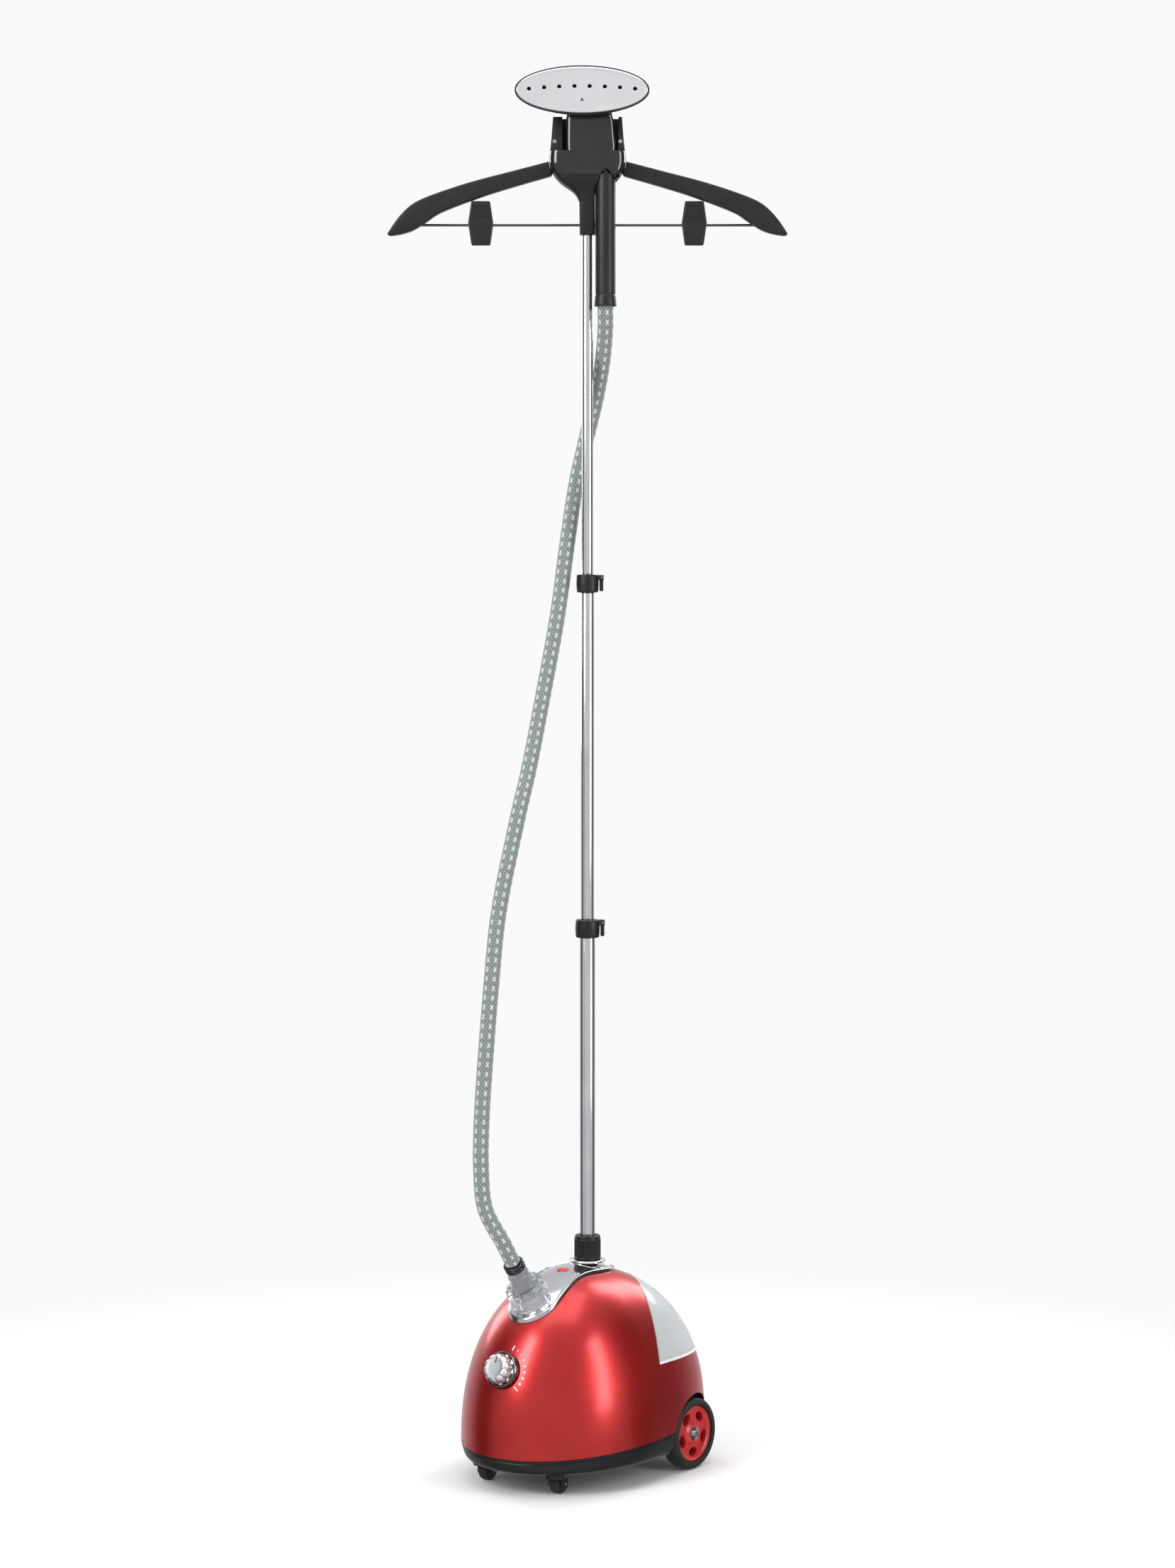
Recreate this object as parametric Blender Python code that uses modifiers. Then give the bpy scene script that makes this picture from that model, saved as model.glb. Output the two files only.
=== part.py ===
"""Upright garment steamer: wheeled water base, telescopic pole, hanger with clips, steam head and hose.

Metres, +Z up. The floor is z = 0, the control knob faces -Y, and the pole is at x = 0, y = POLE_Y, so that
the object's box is centred on the origin. The hanger and the steam head are turned about the pole.
"""

import math

import bmesh
import bpy
from mathutils import Matrix, Vector

# Placing
POLE_Y = 0.0178
HANGER_TURN = math.radians(37)
GAP = 0.0003

# Body: sections of one plan outline, which shrink upwards to a dome
HALF_WIDTH = 0.113
CENTRE_Y = -0.020
FRONT_LENGTH = 0.150
REAR_LENGTH = 0.145
FRONT_POWER = 2.1
REAR_POWER = 3.5
DOME_TOP = 0.232
DOME_POWER = 2.3
EDGE_HEIGHT = 0.050
EDGE_SLOPE = 0.05
WALL = 0.0024
TRAY_FLOOR = 0.024

# Wheels and casters
WHEEL_RADIUS = 0.040
WHEEL_WIDTH = 0.022
WHEEL_X = 0.098
WHEEL_Y = 0.060
AXLE_RADIUS = 0.0035
ARCH_RADIUS = 0.0460
CASTER_X = 0.050
CASTER_Y = -0.125
CASTER_RADIUS = 0.0110
CASTER_TRAIL = 0.006

# Top panel, hose port, knob and tank
PANEL_HALF_WIDTH = 0.031
PANEL_REAR_Y = 0.030
PANEL_FRONT_Y = -0.126
PANEL_THICK = 0.0022
PANEL_LIFT = 0.0007
PORT_Y = -0.103
PORT_TILT = math.radians(35)
KNOB_HEIGHT = 0.136
KNOB_TILT = math.radians(68)
LENS_Y = -0.047
TANK_FLOOR = 0.130
TANK_WALL = 0.0024
NECK_Y = 0.070

# Pole
LOWER_RADIUS = 0.00875
MIDDLE_RADIUS = 0.0075
UPPER_RADIUS = 0.0063
TUBE_WALL = 0.0009
CLAMP_LOW_Z = 0.612
CLAMP_HIGH_Z = 1.000
COLLAR_BASE = 0.2373
COLLAR_TOP = 0.264

# Hanger and head, in the hanger's own turned frame
BAR_Z = 1.399
BAR_RADIUS = 0.0015
BAR_Y = 0.0032
TIP_X = 0.2236
HUB_TOP = 1.517
COVER_TOP = 1.479
COVER_BOTTOM = 1.4525
STEM_BOTTOM = 1.388
POLE_TOP = 1.3955
HEAD_X = -0.006
HEAD_Z = 1.543
PLATE_HALF_WIDTH = 0.0735
PLATE_HALF_HEIGHT = 0.026
PLATE_Y = -0.040
HANDLE_X = 0.020
HANDLE_Y = -0.0100
HANDLE_RADIUS = 0.0112
HANDLE_BOTTOM = 1.308
CLIP_X = 0.119
CLIP_HALF_HEIGHT = 0.024

# Hose
HOSE_RADIUS = 0.0088
CONNECTOR_LENGTH = 0.059

for left_over in list(bpy.data.objects):
    bpy.data.objects.remove(left_over, do_unlink=True)


# ---------------------------------------------------------------- collections, materials and helpers
def new_collection(name):
    made = bpy.data.collections.new(name)
    bpy.context.scene.collection.children.link(made)
    return made


PARTS = new_collection("garment_steamer")
CUTTERS = new_collection("cutters")
CUTTERS.hide_render = True


def new_empty(name, place, turn, parent=None):
    empty = bpy.data.objects.new(name, None)
    PARTS.objects.link(empty)
    empty.parent = parent
    empty.location = place
    empty.rotation_euler = (0, 0, turn)
    return empty


STEAMER = new_empty("steamer_frame", (0, POLE_Y, 0), 0)
HANGER = new_empty("hanger_frame", (0, 0, 0), HANGER_TURN, STEAMER)

LOOKS = {
    "red_gloss": ((0.50, 0.02, 0.02, 1), 0.25, 0.4),
    "black_plastic": ((0.02, 0.02, 0.022, 1), 0.45, 0.0),
    "chrome": ((0.80, 0.80, 0.82, 1), 0.08, 1.0),
    "dark_chrome": ((0.20, 0.20, 0.21, 1), 0.15, 1.0),
    "clear_plastic": ((0.80, 0.82, 0.84, 1), 0.10, 0.0),
    "white_plastic": ((0.80, 0.80, 0.80, 1), 0.35, 0.0),
    "rubber": ((0.02, 0.02, 0.02, 1), 0.80, 0.0),
    "steel": ((0.60, 0.60, 0.60, 1), 0.30, 1.0),
    "aluminium": ((0.60, 0.61, 0.62, 1), 0.45, 1.0),
    "brass": ((0.60, 0.45, 0.18, 1), 0.35, 1.0),
    "hose_fabric": ((0.35, 0.39, 0.37, 1), 0.85, 0.0),
}


def finish(obj, look):
    """Gives an object a material of its own."""
    colour, roughness, metallic = LOOKS[look]
    material = bpy.data.materials.new(obj.name)
    material.use_nodes = True
    shader = material.node_tree.nodes["Principled BSDF"]
    shader.inputs["Base Color"].default_value = colour
    shader.inputs["Roughness"].default_value = roughness
    shader.inputs["Metallic"].default_value = metallic
    obj.data.materials.clear()
    obj.data.materials.append(material)
    return obj


def as_helper(obj):
    """Moves an object to the cutters, which aren't parts."""
    for owner in list(obj.users_collection):
        owner.objects.unlink(obj)
    CUTTERS.objects.link(obj)
    obj.hide_render = True
    obj.display_type = "WIRE"
    return obj


def place(obj, matrix, parent):
    obj.parent = parent
    obj.matrix_local = matrix
    return obj


def from_bmesh(name, bm, matrix=Matrix(), parent=STEAMER):
    mesh = bpy.data.meshes.new(name)
    bm.to_mesh(mesh)
    bm.free()
    mesh.shade_smooth()
    mesh.set_sharp_from_angle(angle=math.radians(35))
    obj = bpy.data.objects.new(name, mesh)
    PARTS.objects.link(obj)
    return place(obj, matrix, parent)


def at(x, y, z):
    return Matrix.Translation((x, y, z))


def tilted(x, y, z, tilt):
    """A place whose own +Z leans forwards, towards -Y, by tilt."""
    return at(x, y, z) @ Matrix.Rotation(tilt, 4, "X")


def sideways(x, y, z):
    """A place whose own +Z points along +X."""
    return at(x, y, z) @ Matrix.Rotation(math.pi / 2, 4, "Y")


def turned(name, profile, matrix=Matrix(), steps=20, parent=STEAMER):
    """A turned solid from (radius, height) points: a closed ring, or a chain that starts and ends on the axis."""
    ring = all(radius > 0 for radius, _ in profile)
    area = 0
    for (r0, z0), (r1, z1) in zip(profile, profile[1:] + profile[:1]):
        area += r0 * z1 - r1 * z0
    points = profile if area < 0 else profile[::-1]
    mesh = bpy.data.meshes.new(name)
    edges = [(i, i + 1) for i in range(len(points) - 1)]
    if ring:
        edges.append((len(points) - 1, 0))
    mesh.from_pydata([(radius, 0, height) for radius, height in points], edges, [])
    obj = bpy.data.objects.new(name, mesh)
    PARTS.objects.link(obj)
    screw = obj.modifiers.new("turn", "SCREW")
    screw.steps = screw.render_steps = steps
    screw.use_merge_vertices = True
    screw.merge_threshold = 0.00001
    screw.use_smooth_shade = True
    return place(obj, matrix, parent)


def pipe(name, inner, outer, low, high, matrix=Matrix(), steps=16, parent=STEAMER):
    profile = [(inner, low), (inner, high), (outer, high), (outer, low)]
    return turned(name, profile, matrix, steps, parent)


def rod(name, radius, low, high, matrix=Matrix(), steps=14, parent=STEAMER):
    return turned(name, [(0, high), (radius, high), (radius, low), (0, low)], matrix, steps, parent)


def box(name, low, high, matrix=Matrix(), bevel=0, parent=STEAMER):
    """A box between two corners."""
    bm = bmesh.new()
    bmesh.ops.create_cube(bm, size=1)
    size = [b - a for a, b in zip(low, high)]
    middle = [(a + b) / 2 for a, b in zip(low, high)]
    bmesh.ops.scale(bm, vec=size, verts=bm.verts)
    bmesh.ops.translate(bm, vec=middle, verts=bm.verts)
    obj = from_bmesh(name, bm, matrix, parent)
    if bevel:
        round_edges(obj, bevel)
    return obj


def round_edges(obj, width, segments=2):
    rounding = obj.modifiers.new("round", "BEVEL")
    rounding.width = width
    rounding.segments = segments
    rounding.limit_method = "ANGLE"
    rounding.angle_limit = math.radians(40)
    return obj


def plate(name, outline, low, high, matrix=Matrix(), parent=STEAMER):
    """A flat outline of (x, y) points, extruded from low to high along its own Z, as a mesh."""
    curve = bpy.data.curves.new(name, "CURVE")
    curve.dimensions = "2D"
    curve.fill_mode = "BOTH"
    curve.extrude = (high - low) / 2
    spline = curve.splines.new("POLY")
    spline.points.add(len(outline) - 1)
    for point, (x, y) in zip(spline.points, outline):
        point.co = (x, y, 0, 1)
    spline.use_cyclic_u = True
    flat = bpy.data.objects.new(name, curve)
    PARTS.objects.link(flat)
    bpy.context.view_layer.update()
    mesh = bpy.data.meshes.new_from_object(flat.evaluated_get(bpy.context.evaluated_depsgraph_get()))
    bpy.data.objects.remove(flat)
    bm = bmesh.new()
    bm.from_mesh(mesh)
    bpy.data.meshes.remove(mesh)
    bmesh.ops.remove_doubles(bm, verts=bm.verts, dist=0.00001)
    bmesh.ops.recalc_face_normals(bm, faces=bm.faces)
    return from_bmesh(name, bm, matrix @ at(0, 0, (high + low) / 2), parent)


def boolean(target, other, operation="DIFFERENCE"):
    """Cuts another object from a target, joins it or keeps what they share; the other becomes a helper."""
    step = target.modifiers.new(operation.lower(), "BOOLEAN")
    step.operation = operation
    step.solver = "MANIFOLD"
    step.object = as_helper(other)
    return target


def loft(name, rings, matrix=Matrix(), parent=STEAMER, closed=True):
    """A skin over rings of equally many points, capped at both ends when closed."""
    bm = bmesh.new()
    rows = [[bm.verts.new(point) for point in ring] for ring in rings]
    for low, high in zip(rows, rows[1:]):
        for i in range(len(low)):
            j = (i + 1) % len(low)
            bm.faces.new((low[i], low[j], high[j], high[i]))
    bm.faces.new(rows[-1])
    if closed:
        bm.faces.new(rows[0][::-1])
        bmesh.ops.recalc_face_normals(bm, faces=bm.faces)
    return from_bmesh(name, bm, matrix, parent)


# ---------------------------------------------------------------- the dome that the body, panel and tank share
def edge_height(y):
    """Height of the seam between the body and its tray, which rises slightly to the rear."""
    return EDGE_HEIGHT + EDGE_SLOPE * y


def plan_radius(angle, inset=0):
    """Distance from the section's middle to the plan outline: round in front, squarer behind."""
    front = math.sin(angle) < 0
    length = (FRONT_LENGTH if front else REAR_LENGTH) - inset
    power = FRONT_POWER if front else REAR_POWER
    across = abs(math.cos(angle)) / (HALF_WIDTH - inset)
    along = abs(math.sin(angle)) / length
    return (across**power + along**power) ** (-1 / power)


def plan_ring(height_at, share=1, inset=0, count=36):
    """One ring of the plan outline; height_at gives a point's height from its y."""
    ring = []
    for i in range(count):
        angle = 2 * math.pi * i / count
        radius = plan_radius(angle, inset) * share
        y = CENTRE_Y + radius * math.sin(angle)
        ring.append((radius * math.cos(angle), y, height_at(y)))
    return ring


def dome_height(y, rise, inset, drop):
    low = edge_height(y) - drop
    return low + (DOME_TOP - inset - low) * rise


def dome(name, inset=0, drop=0, levels=9, closed=True):
    """The dome, or one inset from it. drop carries its straight foot below the seam."""
    rings = []
    if drop:
        rings.append(plan_ring(lambda y: edge_height(y) - drop, 1, inset))
    for level in range(levels):
        lean = math.pi / 2 * level / levels
        rise = math.sin(lean) ** (2 / DOME_POWER)
        rings.append(plan_ring(lambda y: dome_height(y, rise, inset, 0), math.cos(lean), inset))
    lean = math.pi / 2 * (levels - 0.45) / levels
    rise = math.sin(lean) ** (2 / DOME_POWER)
    rings.append(plan_ring(lambda y: dome_height(y, rise, inset, 0), math.cos(lean), inset))
    return loft(name, rings, closed=closed)


def skin_height(x, y, lift=0):
    """Height of the dome's skin over a point of the plan, or of a skin lifted off it."""
    angle = math.atan2(y - CENTRE_Y, x)
    share = min(math.hypot(x, y - CENTRE_Y) / plan_radius(angle, -lift), 1)
    return dome_height(y, math.sin(math.acos(share)) ** (2 / DOME_POWER), -lift, 0)


def tank_front(x, shift=0):
    """Where the tank begins behind the body's crown: further back near the middle."""
    reach = min(abs(x) / 0.108, 1)
    return -0.007 + 0.052 * (1 - reach**1.4) + shift


def tank_block(name, grow, low):
    """The upright space that holds the tank, grown or shrunk in front and below."""
    half = 0.135
    steps = 14
    front = [half * (2 * i / steps - 1) for i in range(steps + 1)]
    outline = [(x, tank_front(x, -grow)) for x in front]
    outline += [(half, 0.17), (-half, 0.17)]
    return plate(name, outline, low, DOME_TOP + 0.03)


def panel_width(y):
    """Half width of the top panel: a band with round ends and a slight waist."""
    radius = PANEL_HALF_WIDTH
    front = PANEL_FRONT_Y + radius
    rear = PANEL_REAR_Y - radius
    if y < front:
        return math.sqrt(max(radius**2 - (front - y) ** 2, 0))
    if y > rear:
        return math.sqrt(max(radius**2 - (y - rear) ** 2, 0))
    along = (y - front) / (rear - front)
    return radius - 0.0035 * math.sin(math.pi * along) ** 2


PORT = tilted(0, PORT_Y, skin_height(0, PORT_Y), PORT_TILT)
KNOB_LEAN = math.asin(((KNOB_HEIGHT - 0.042) / (DOME_TOP - 0.042)) ** (DOME_POWER / 2))
KNOB_Y = CENTRE_Y - FRONT_LENGTH * math.cos(KNOB_LEAN)
KNOB = tilted(0, KNOB_Y, KNOB_HEIGHT, KNOB_TILT)
LENS = tilted(0, LENS_Y, skin_height(0, LENS_Y), math.radians(12))


# ---------------------------------------------------------------- body
def make_base_tray():
    """The black pan under the body, with wheel wells and holes for axle and casters."""
    def level(height):
        return lambda y: height

    def rim(y):
        return edge_height(y) - GAP

    rings = [
        plan_ring(level(TRAY_FLOOR), 1, 0.012),
        plan_ring(level(0.030), 1, 0.004),
        plan_ring(level(0.036), 1, 0.0018),
        plan_ring(rim, 1, 0.0010),
        plan_ring(rim, 1, 0.0045),
        plan_ring(level(0.036), 1, 0.0053),
        plan_ring(level(0.0275), 1, 0.0150),
    ]
    tray = loft("base_tray", rings)
    for side in (-1, 1):
        turn = sideways(0, WHEEL_Y, WHEEL_RADIUS)
        ends = sorted((side * 0.0855, side * 0.14))
        opening = sorted((side * 0.0843, side * 0.13))
        boolean(tray, rod(f"tray_arch_{side}", ARCH_RADIUS + 0.0006, *opening, turn, 28))
        well = rod(f"well_{side}", ARCH_RADIUS + 0.0016, *sorted((side * 0.0830, side * 0.12)), turn, 28)
        boolean(well, rod(f"well_hollow_{side}", ARCH_RADIUS - 0.0006, *ends, turn, 28))
        boolean(well, dome(f"well_trim_{side}", 0.0030, 0.05), "INTERSECT")
        boolean(well, box(f"well_floor_{side}", (-0.2, -0.2, 0.0258), (0.2, 0.2, 0.2)), "INTERSECT")
        boolean(tray, well, "UNION")
        caster = at(side * CASTER_X, CASTER_Y, 0)
        boolean(tray, rod(f"boss_{side}", 0.009, 0.0262, 0.040, caster), "UNION")
        boolean(tray, rod(f"stem_hole_{side}", 0.0042, 0.010, 0.038, caster))
    boolean(tray, rod("axle_hole", AXLE_RADIUS + GAP, -0.12, 0.12, sideways(0, WHEEL_Y, WHEEL_RADIUS)))
    boolean(tray, rod("drain_hole", 0.0078, 0.01, 0.04, at(0, 0.080, 0)))
    return finish(tray, "black_plastic")


def make_body_shell():
    shell = dome("body_shell", closed=False)
    skin = shell.modifiers.new("wall", "SOLIDIFY")
    skin.thickness = WALL
    skin.offset = -1
    skin.use_even_offset = True
    boolean(shell, tank_block("tank_opening", GAP, TANK_FLOOR - 0.0006))
    for side in (-1, 1):
        ends = sorted((side * 0.080, side * 0.13))
        turn = sideways(0, WHEEL_Y, WHEEL_RADIUS)
        boolean(shell, rod(f"arch_{side}", ARCH_RADIUS, *ends, turn, 28))
    boolean(shell, rod("port_hole", 0.0166, -0.03, 0.03, PORT))
    boolean(shell, rod("socket_hole", 0.0126, 0.20, 0.26))
    boolean(shell, rod("knob_hole", 0.0060, -0.02, 0.02, KNOB))
    boolean(shell, rod("lens_hole", 0.0070, -0.02, 0.02, LENS))
    boolean(shell, rod("inlet_hole", 0.0085, 0.07, 0.16, at(0.040, 0, 0.075) @ Matrix.Rotation(-math.pi / 2, 4, "X")))
    return finish(shell, "red_gloss")


def make_top_panel():
    """The bright band over the crown, from behind the pole to a round lobe in front."""
    count = 18
    across = 5
    start = PANEL_FRONT_Y + 0.0008
    end = PANEL_REAR_Y - 0.0008
    rows = {}
    bm = bmesh.new()
    for lift in (PANEL_LIFT, PANEL_THICK):
        grid = []
        for i in range(count + 1):
            y = start + (end - start) * (1 - math.cos(math.pi * i / count)) / 2
            half = panel_width(y)
            line = []
            for j in range(across + 1):
                x = half * (2 * j / across - 1)
                line.append(bm.verts.new((x, y, skin_height(x, y, lift))))
            grid.append(line)
        rows[lift] = grid
    low, top = rows[PANEL_LIFT], rows[PANEL_THICK]
    for i in range(count):
        for j in range(across):
            bm.faces.new((top[i][j], top[i][j + 1], top[i + 1][j + 1], top[i + 1][j]))
            bm.faces.new((low[i][j], low[i + 1][j], low[i + 1][j + 1], low[i][j + 1]))
        bm.faces.new((low[i][0], top[i][0], top[i + 1][0], low[i + 1][0]))
        bm.faces.new((low[i][across], low[i + 1][across], top[i + 1][across], top[i][across]))
    for j in range(across):
        bm.faces.new((low[0][j], low[0][j + 1], top[0][j + 1], top[0][j]))
        bm.faces.new((low[count][j], top[count][j], top[count][j + 1], low[count][j + 1]))
    bmesh.ops.recalc_face_normals(bm, faces=bm.faces)
    panel = from_bmesh("top_panel", bm)
    boolean(panel, rod("panel_port", 0.0168, -0.03, 0.03, PORT))
    boolean(panel, rod("panel_socket", 0.0128, 0.20, 0.26))
    boolean(panel, rod("panel_lens", 0.0070, -0.02, 0.02, LENS))
    return finish(panel, "chrome")


def make_port():
    """Steam outlet sleeve, its turning nut, and the hose's connector with its collar."""
    finish(pipe("outlet_sleeve", 0.0125, 0.0160, -0.026, 0.016, PORT), "white_plastic")
    nut = [(0.0172, 0.0026), (0.0172, 0.0200), (0.0145, 0.0200), (0.0145, 0.0235), (0.0225, 0.0235), (0.0232, 0.0026)]
    finish(turned("hose_nut", nut, PORT, 20), "clear_plastic")
    cone = [(0.0070, 0.0166), (0.0166, 0.0166), (0.0166, 0.0194), (0.0135, 0.0194), (0.0108, 0.0500), (0.0070, 0.0500)]
    finish(turned("hose_connector", cone, PORT, 18), "clear_plastic")
    finish(pipe("hose_collar", 0.0070, 0.0118, 0.0503, CONNECTOR_LENGTH - GAP, PORT), "black_plastic")


def make_knob():
    knob = [(0, 0.0170), (0.0135, 0.0170), (0.0165, 0.0140), (0.0175, 0.0040), (0.0100, 0.0040), (0, 0.0060)]
    finish(turned("control_knob", knob, KNOB, 20), "chrome")
    bezel = [(0.0185, 0.0012), (0.0185, 0.0060), (0.0205, 0.0050), (0.0210, 0.0012)]
    finish(turned("knob_bezel", bezel, KNOB, 20), "dark_chrome")
    finish(rod("knob_shaft", 0.0030, -0.0165, 0.0036, KNOB), "steel")
    finish(box("rotary_switch", (-0.013, -0.013, -0.034), (0.013, 0.013, -0.017), KNOB, 0.001), "black_plastic")
    finish(rod("indicator_lens", 0.0066, -0.003, 0.0030, LENS), "red_gloss")
    finish(rod("indicator_lamp", 0.0035, -0.016, -0.0034, LENS), "clear_plastic")


def make_tank():
    """The lift-out water tank with its neck, screw cap, valve and latch, and the bay that it stands in."""
    tank = tank_block("water_tank", -GAP, TANK_FLOOR)
    boolean(tank, dome("tank_skin", -0.0002), "INTERSECT")
    hollow = tank_block("tank_hollow", -GAP - TANK_WALL, TANK_FLOOR + TANK_WALL)
    boolean(hollow, dome("tank_lining", TANK_WALL), "INTERSECT")
    boolean(tank, hollow)
    neck = at(0, NECK_Y, 0)
    boolean(tank, rod("neck_wall", 0.0150, 0.1165, 0.1315, neck, 24), "UNION")
    boolean(tank, rod("neck_bore", 0.0130, 0.10, 0.140, neck, 24))
    finish(tank, "clear_plastic")
    cap = [
        (0.0040, 0.1120), (0.0190, 0.1120), (0.0190, 0.1285), (0.0153, 0.1285), (0.0153, 0.1155), (0.0040, 0.1155),
    ]
    finish(turned("tank_cap", cap, neck, 18), "black_plastic")
    valve = [(0, 0.1230), (0.0070, 0.1230), (0.0070, 0.1162), (0.0030, 0.1158), (0.0030, 0.1065), (0, 0.1065)]
    finish(turned("tank_valve", valve, neck, 16), "rubber")

    bay = tank_block("tank_bay", 0.0026, TANK_FLOOR - 0.0035)
    boolean(bay, dome("bay_trim", WALL + 0.0006), "INTERSECT")
    boolean(bay, tank_block("bay_space", 0.0006, TANK_FLOOR - 0.0010))
    boolean(bay, rod("bay_hole", 0.0200, 0.10, 0.14, neck, 24))
    finish(bay, "black_plastic")
    seat = [
        (0.0036, 0.1000), (0.0235, 0.1000), (0.0235, 0.1260), (0.0205, 0.1260), (0.0205, 0.1030), (0.0036, 0.1030),
    ]
    finish(turned("valve_seat", seat, neck, 18), "black_plastic")


def latch_place():
    y = 0.092
    rise = skin_height(0, y + 0.004) - skin_height(0, y - 0.004)
    return tilted(0, y, skin_height(0, y), math.atan2(rise, 0.008))


def make_latch():
    """The oval push latch on the tank's back slope."""
    outline = [(0.019 * math.cos(a * math.pi / 14), 0.009 * math.sin(a * math.pi / 14)) for a in range(28)]
    latch = plate("tank_latch", outline, 0.0026, 0.0076, latch_place())
    round_edges(latch, 0.0016)
    finish(latch, "red_gloss")


def make_inside():
    """Boiler, element, thermostat and the two tubes that carry water in and steam out."""
    boiler = rod("boiler", 0.034, 0.052, 0.094, at(0, -0.020, 0), 20)
    round_edges(boiler, 0.003, 1)
    finish(boiler, "aluminium")
    bm = bmesh.new()
    bmesh.ops.create_circle(bm, segments=8, radius=0.0035)
    bmesh.ops.rotate(bm, verts=bm.verts, matrix=Matrix.Rotation(math.pi / 2, 3, "X"))
    bmesh.ops.translate(bm, verts=bm.verts, vec=(0.026, 0, 0.0470))
    mesh = bpy.data.meshes.new("heating_element")
    bm.to_mesh(mesh)
    bm.free()
    element = bpy.data.objects.new("heating_element", mesh)
    PARTS.objects.link(element)
    ring = element.modifiers.new("turn", "SCREW")
    ring.steps = ring.render_steps = 18
    ring.use_merge_vertices = True
    ring.merge_threshold = 0.00001
    ring.use_normal_calculate = True
    place(element, at(0, -0.020, 0), STEAMER)
    finish(element, "steel")
    finish(rod("thermostat", 0.0085, 0.0945, 0.1030, at(0.016, -0.034, 0)), "steel")
    finish(hollow_tube("feed_tube", [(0, 0.070, 0.0995), (0, 0.068, 0.088), (0, 0.055, 0.079), (0, 0.0150, 0.074)],
                       0.0045), "white_plastic")
    port_end = PORT @ Vector((0, 0, -0.0265))
    finish(hollow_tube("steam_tube", [(0, -0.020, 0.0945), (0, -0.022, 0.115), (0, -0.040, 0.145),
                                      tuple(PORT @ Vector((0, 0, -0.040))), tuple(port_end)], 0.0060), "white_plastic")
    finish(rod("drain_plug", 0.0070, 0.0190, 0.0420, at(0, 0.080, 0)), "black_plastic")
    inlet = at(0.040, 0, 0.075) @ Matrix.Rotation(-math.pi / 2, 4, "X")
    finish(pipe("cord_inlet", 0.0040, 0.0080, 0.108, 0.1275, inlet), "rubber")


def hollow_tube(name, points, radius):
    """A bent tube through a few points, solid, with round corners from a smooth curve."""
    return curve_rod(name, smooth_points(points, 8), radius, STEAMER, 2)


def smooth_points(points, count):
    """Points at even steps along the Catmull-Rom curve through the given ones."""
    vectors = [Vector(point) for point in points]
    ends = [2 * vectors[0] - vectors[1]] + vectors + [2 * vectors[-1] - vectors[-2]]
    fine = []
    for a, b, c, d in zip(ends, ends[1:], ends[2:], ends[3:]):
        for step in range(20):
            t = step / 20
            fine.append(0.5 * (2 * b + (c - a) * t + (2 * a - 5 * b + 4 * c - d) * t**2
                               + (3 * b - a - 3 * c + d) * t**3))
    fine.append(vectors[-1])
    lengths = [0]
    for first, second in zip(fine, fine[1:]):
        lengths.append(lengths[-1] + (second - first).length)
    chosen = []
    index = 0
    for step in range(count + 1):
        wanted = lengths[-1] * step / count
        while index < len(fine) - 2 and lengths[index + 1] < wanted:
            index += 1
        span = lengths[index + 1] - lengths[index]
        chosen.append(fine[index].lerp(fine[index + 1], (wanted - lengths[index]) / span))
    return chosen


def curve_rod(name, points, radius, parent, resolution=2):
    curve = bpy.data.curves.new(name, "CURVE")
    curve.dimensions = "3D"
    curve.bevel_depth = radius
    curve.bevel_resolution = resolution
    curve.use_fill_caps = True
    spline = curve.splines.new("POLY")
    spline.points.add(len(points) - 1)
    for place_on, point in zip(spline.points, points):
        place_on.co = (*point, 1)
    obj = bpy.data.objects.new(name, curve)
    PARTS.objects.link(obj)
    obj.parent = parent
    return obj


# ---------------------------------------------------------------- wheels and casters
def make_wheels():
    finish(rod("rear_axle", AXLE_RADIUS, -0.1100, 0.1100, sideways(0, WHEEL_Y, WHEEL_RADIUS)), "steel")
    half = WHEEL_WIDTH / 2
    edge = half - 0.004
    for side, word in ((-1, "left"), (1, "right")):
        hub_place = sideways(side * WHEEL_X, WHEEL_Y, WHEEL_RADIUS)
        tyre = [
            (0.0315, -edge), (0.0330, -half), (0.0375, -half), (WHEEL_RADIUS, -edge),
            (WHEEL_RADIUS, edge), (0.0375, half), (0.0330, half), (0.0315, edge),
        ]
        finish(turned(f"rear_tyre_{word}", tyre, hub_place, 24), "rubber")
        low, high = sorted((-side * half * 0.7, side * half * 0.75))
        hub = pipe(f"rear_hub_{word}", AXLE_RADIUS + GAP, 0.0312, low, high, hub_place, 24)
        for spoke in range(5):
            around = Matrix.Rotation(2 * math.pi * spoke / 5, 4, "Z")
            outline = [(0.021 + 0.0062 * math.cos(a * math.pi / 4), 0.0048 * math.sin(a * math.pi / 4))
                       for a in range(8)]
            boolean(hub, plate(f"window_{word}_{spoke}", outline, -0.02, 0.02, hub_place @ around))
        finish(hub, "red_gloss")


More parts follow.
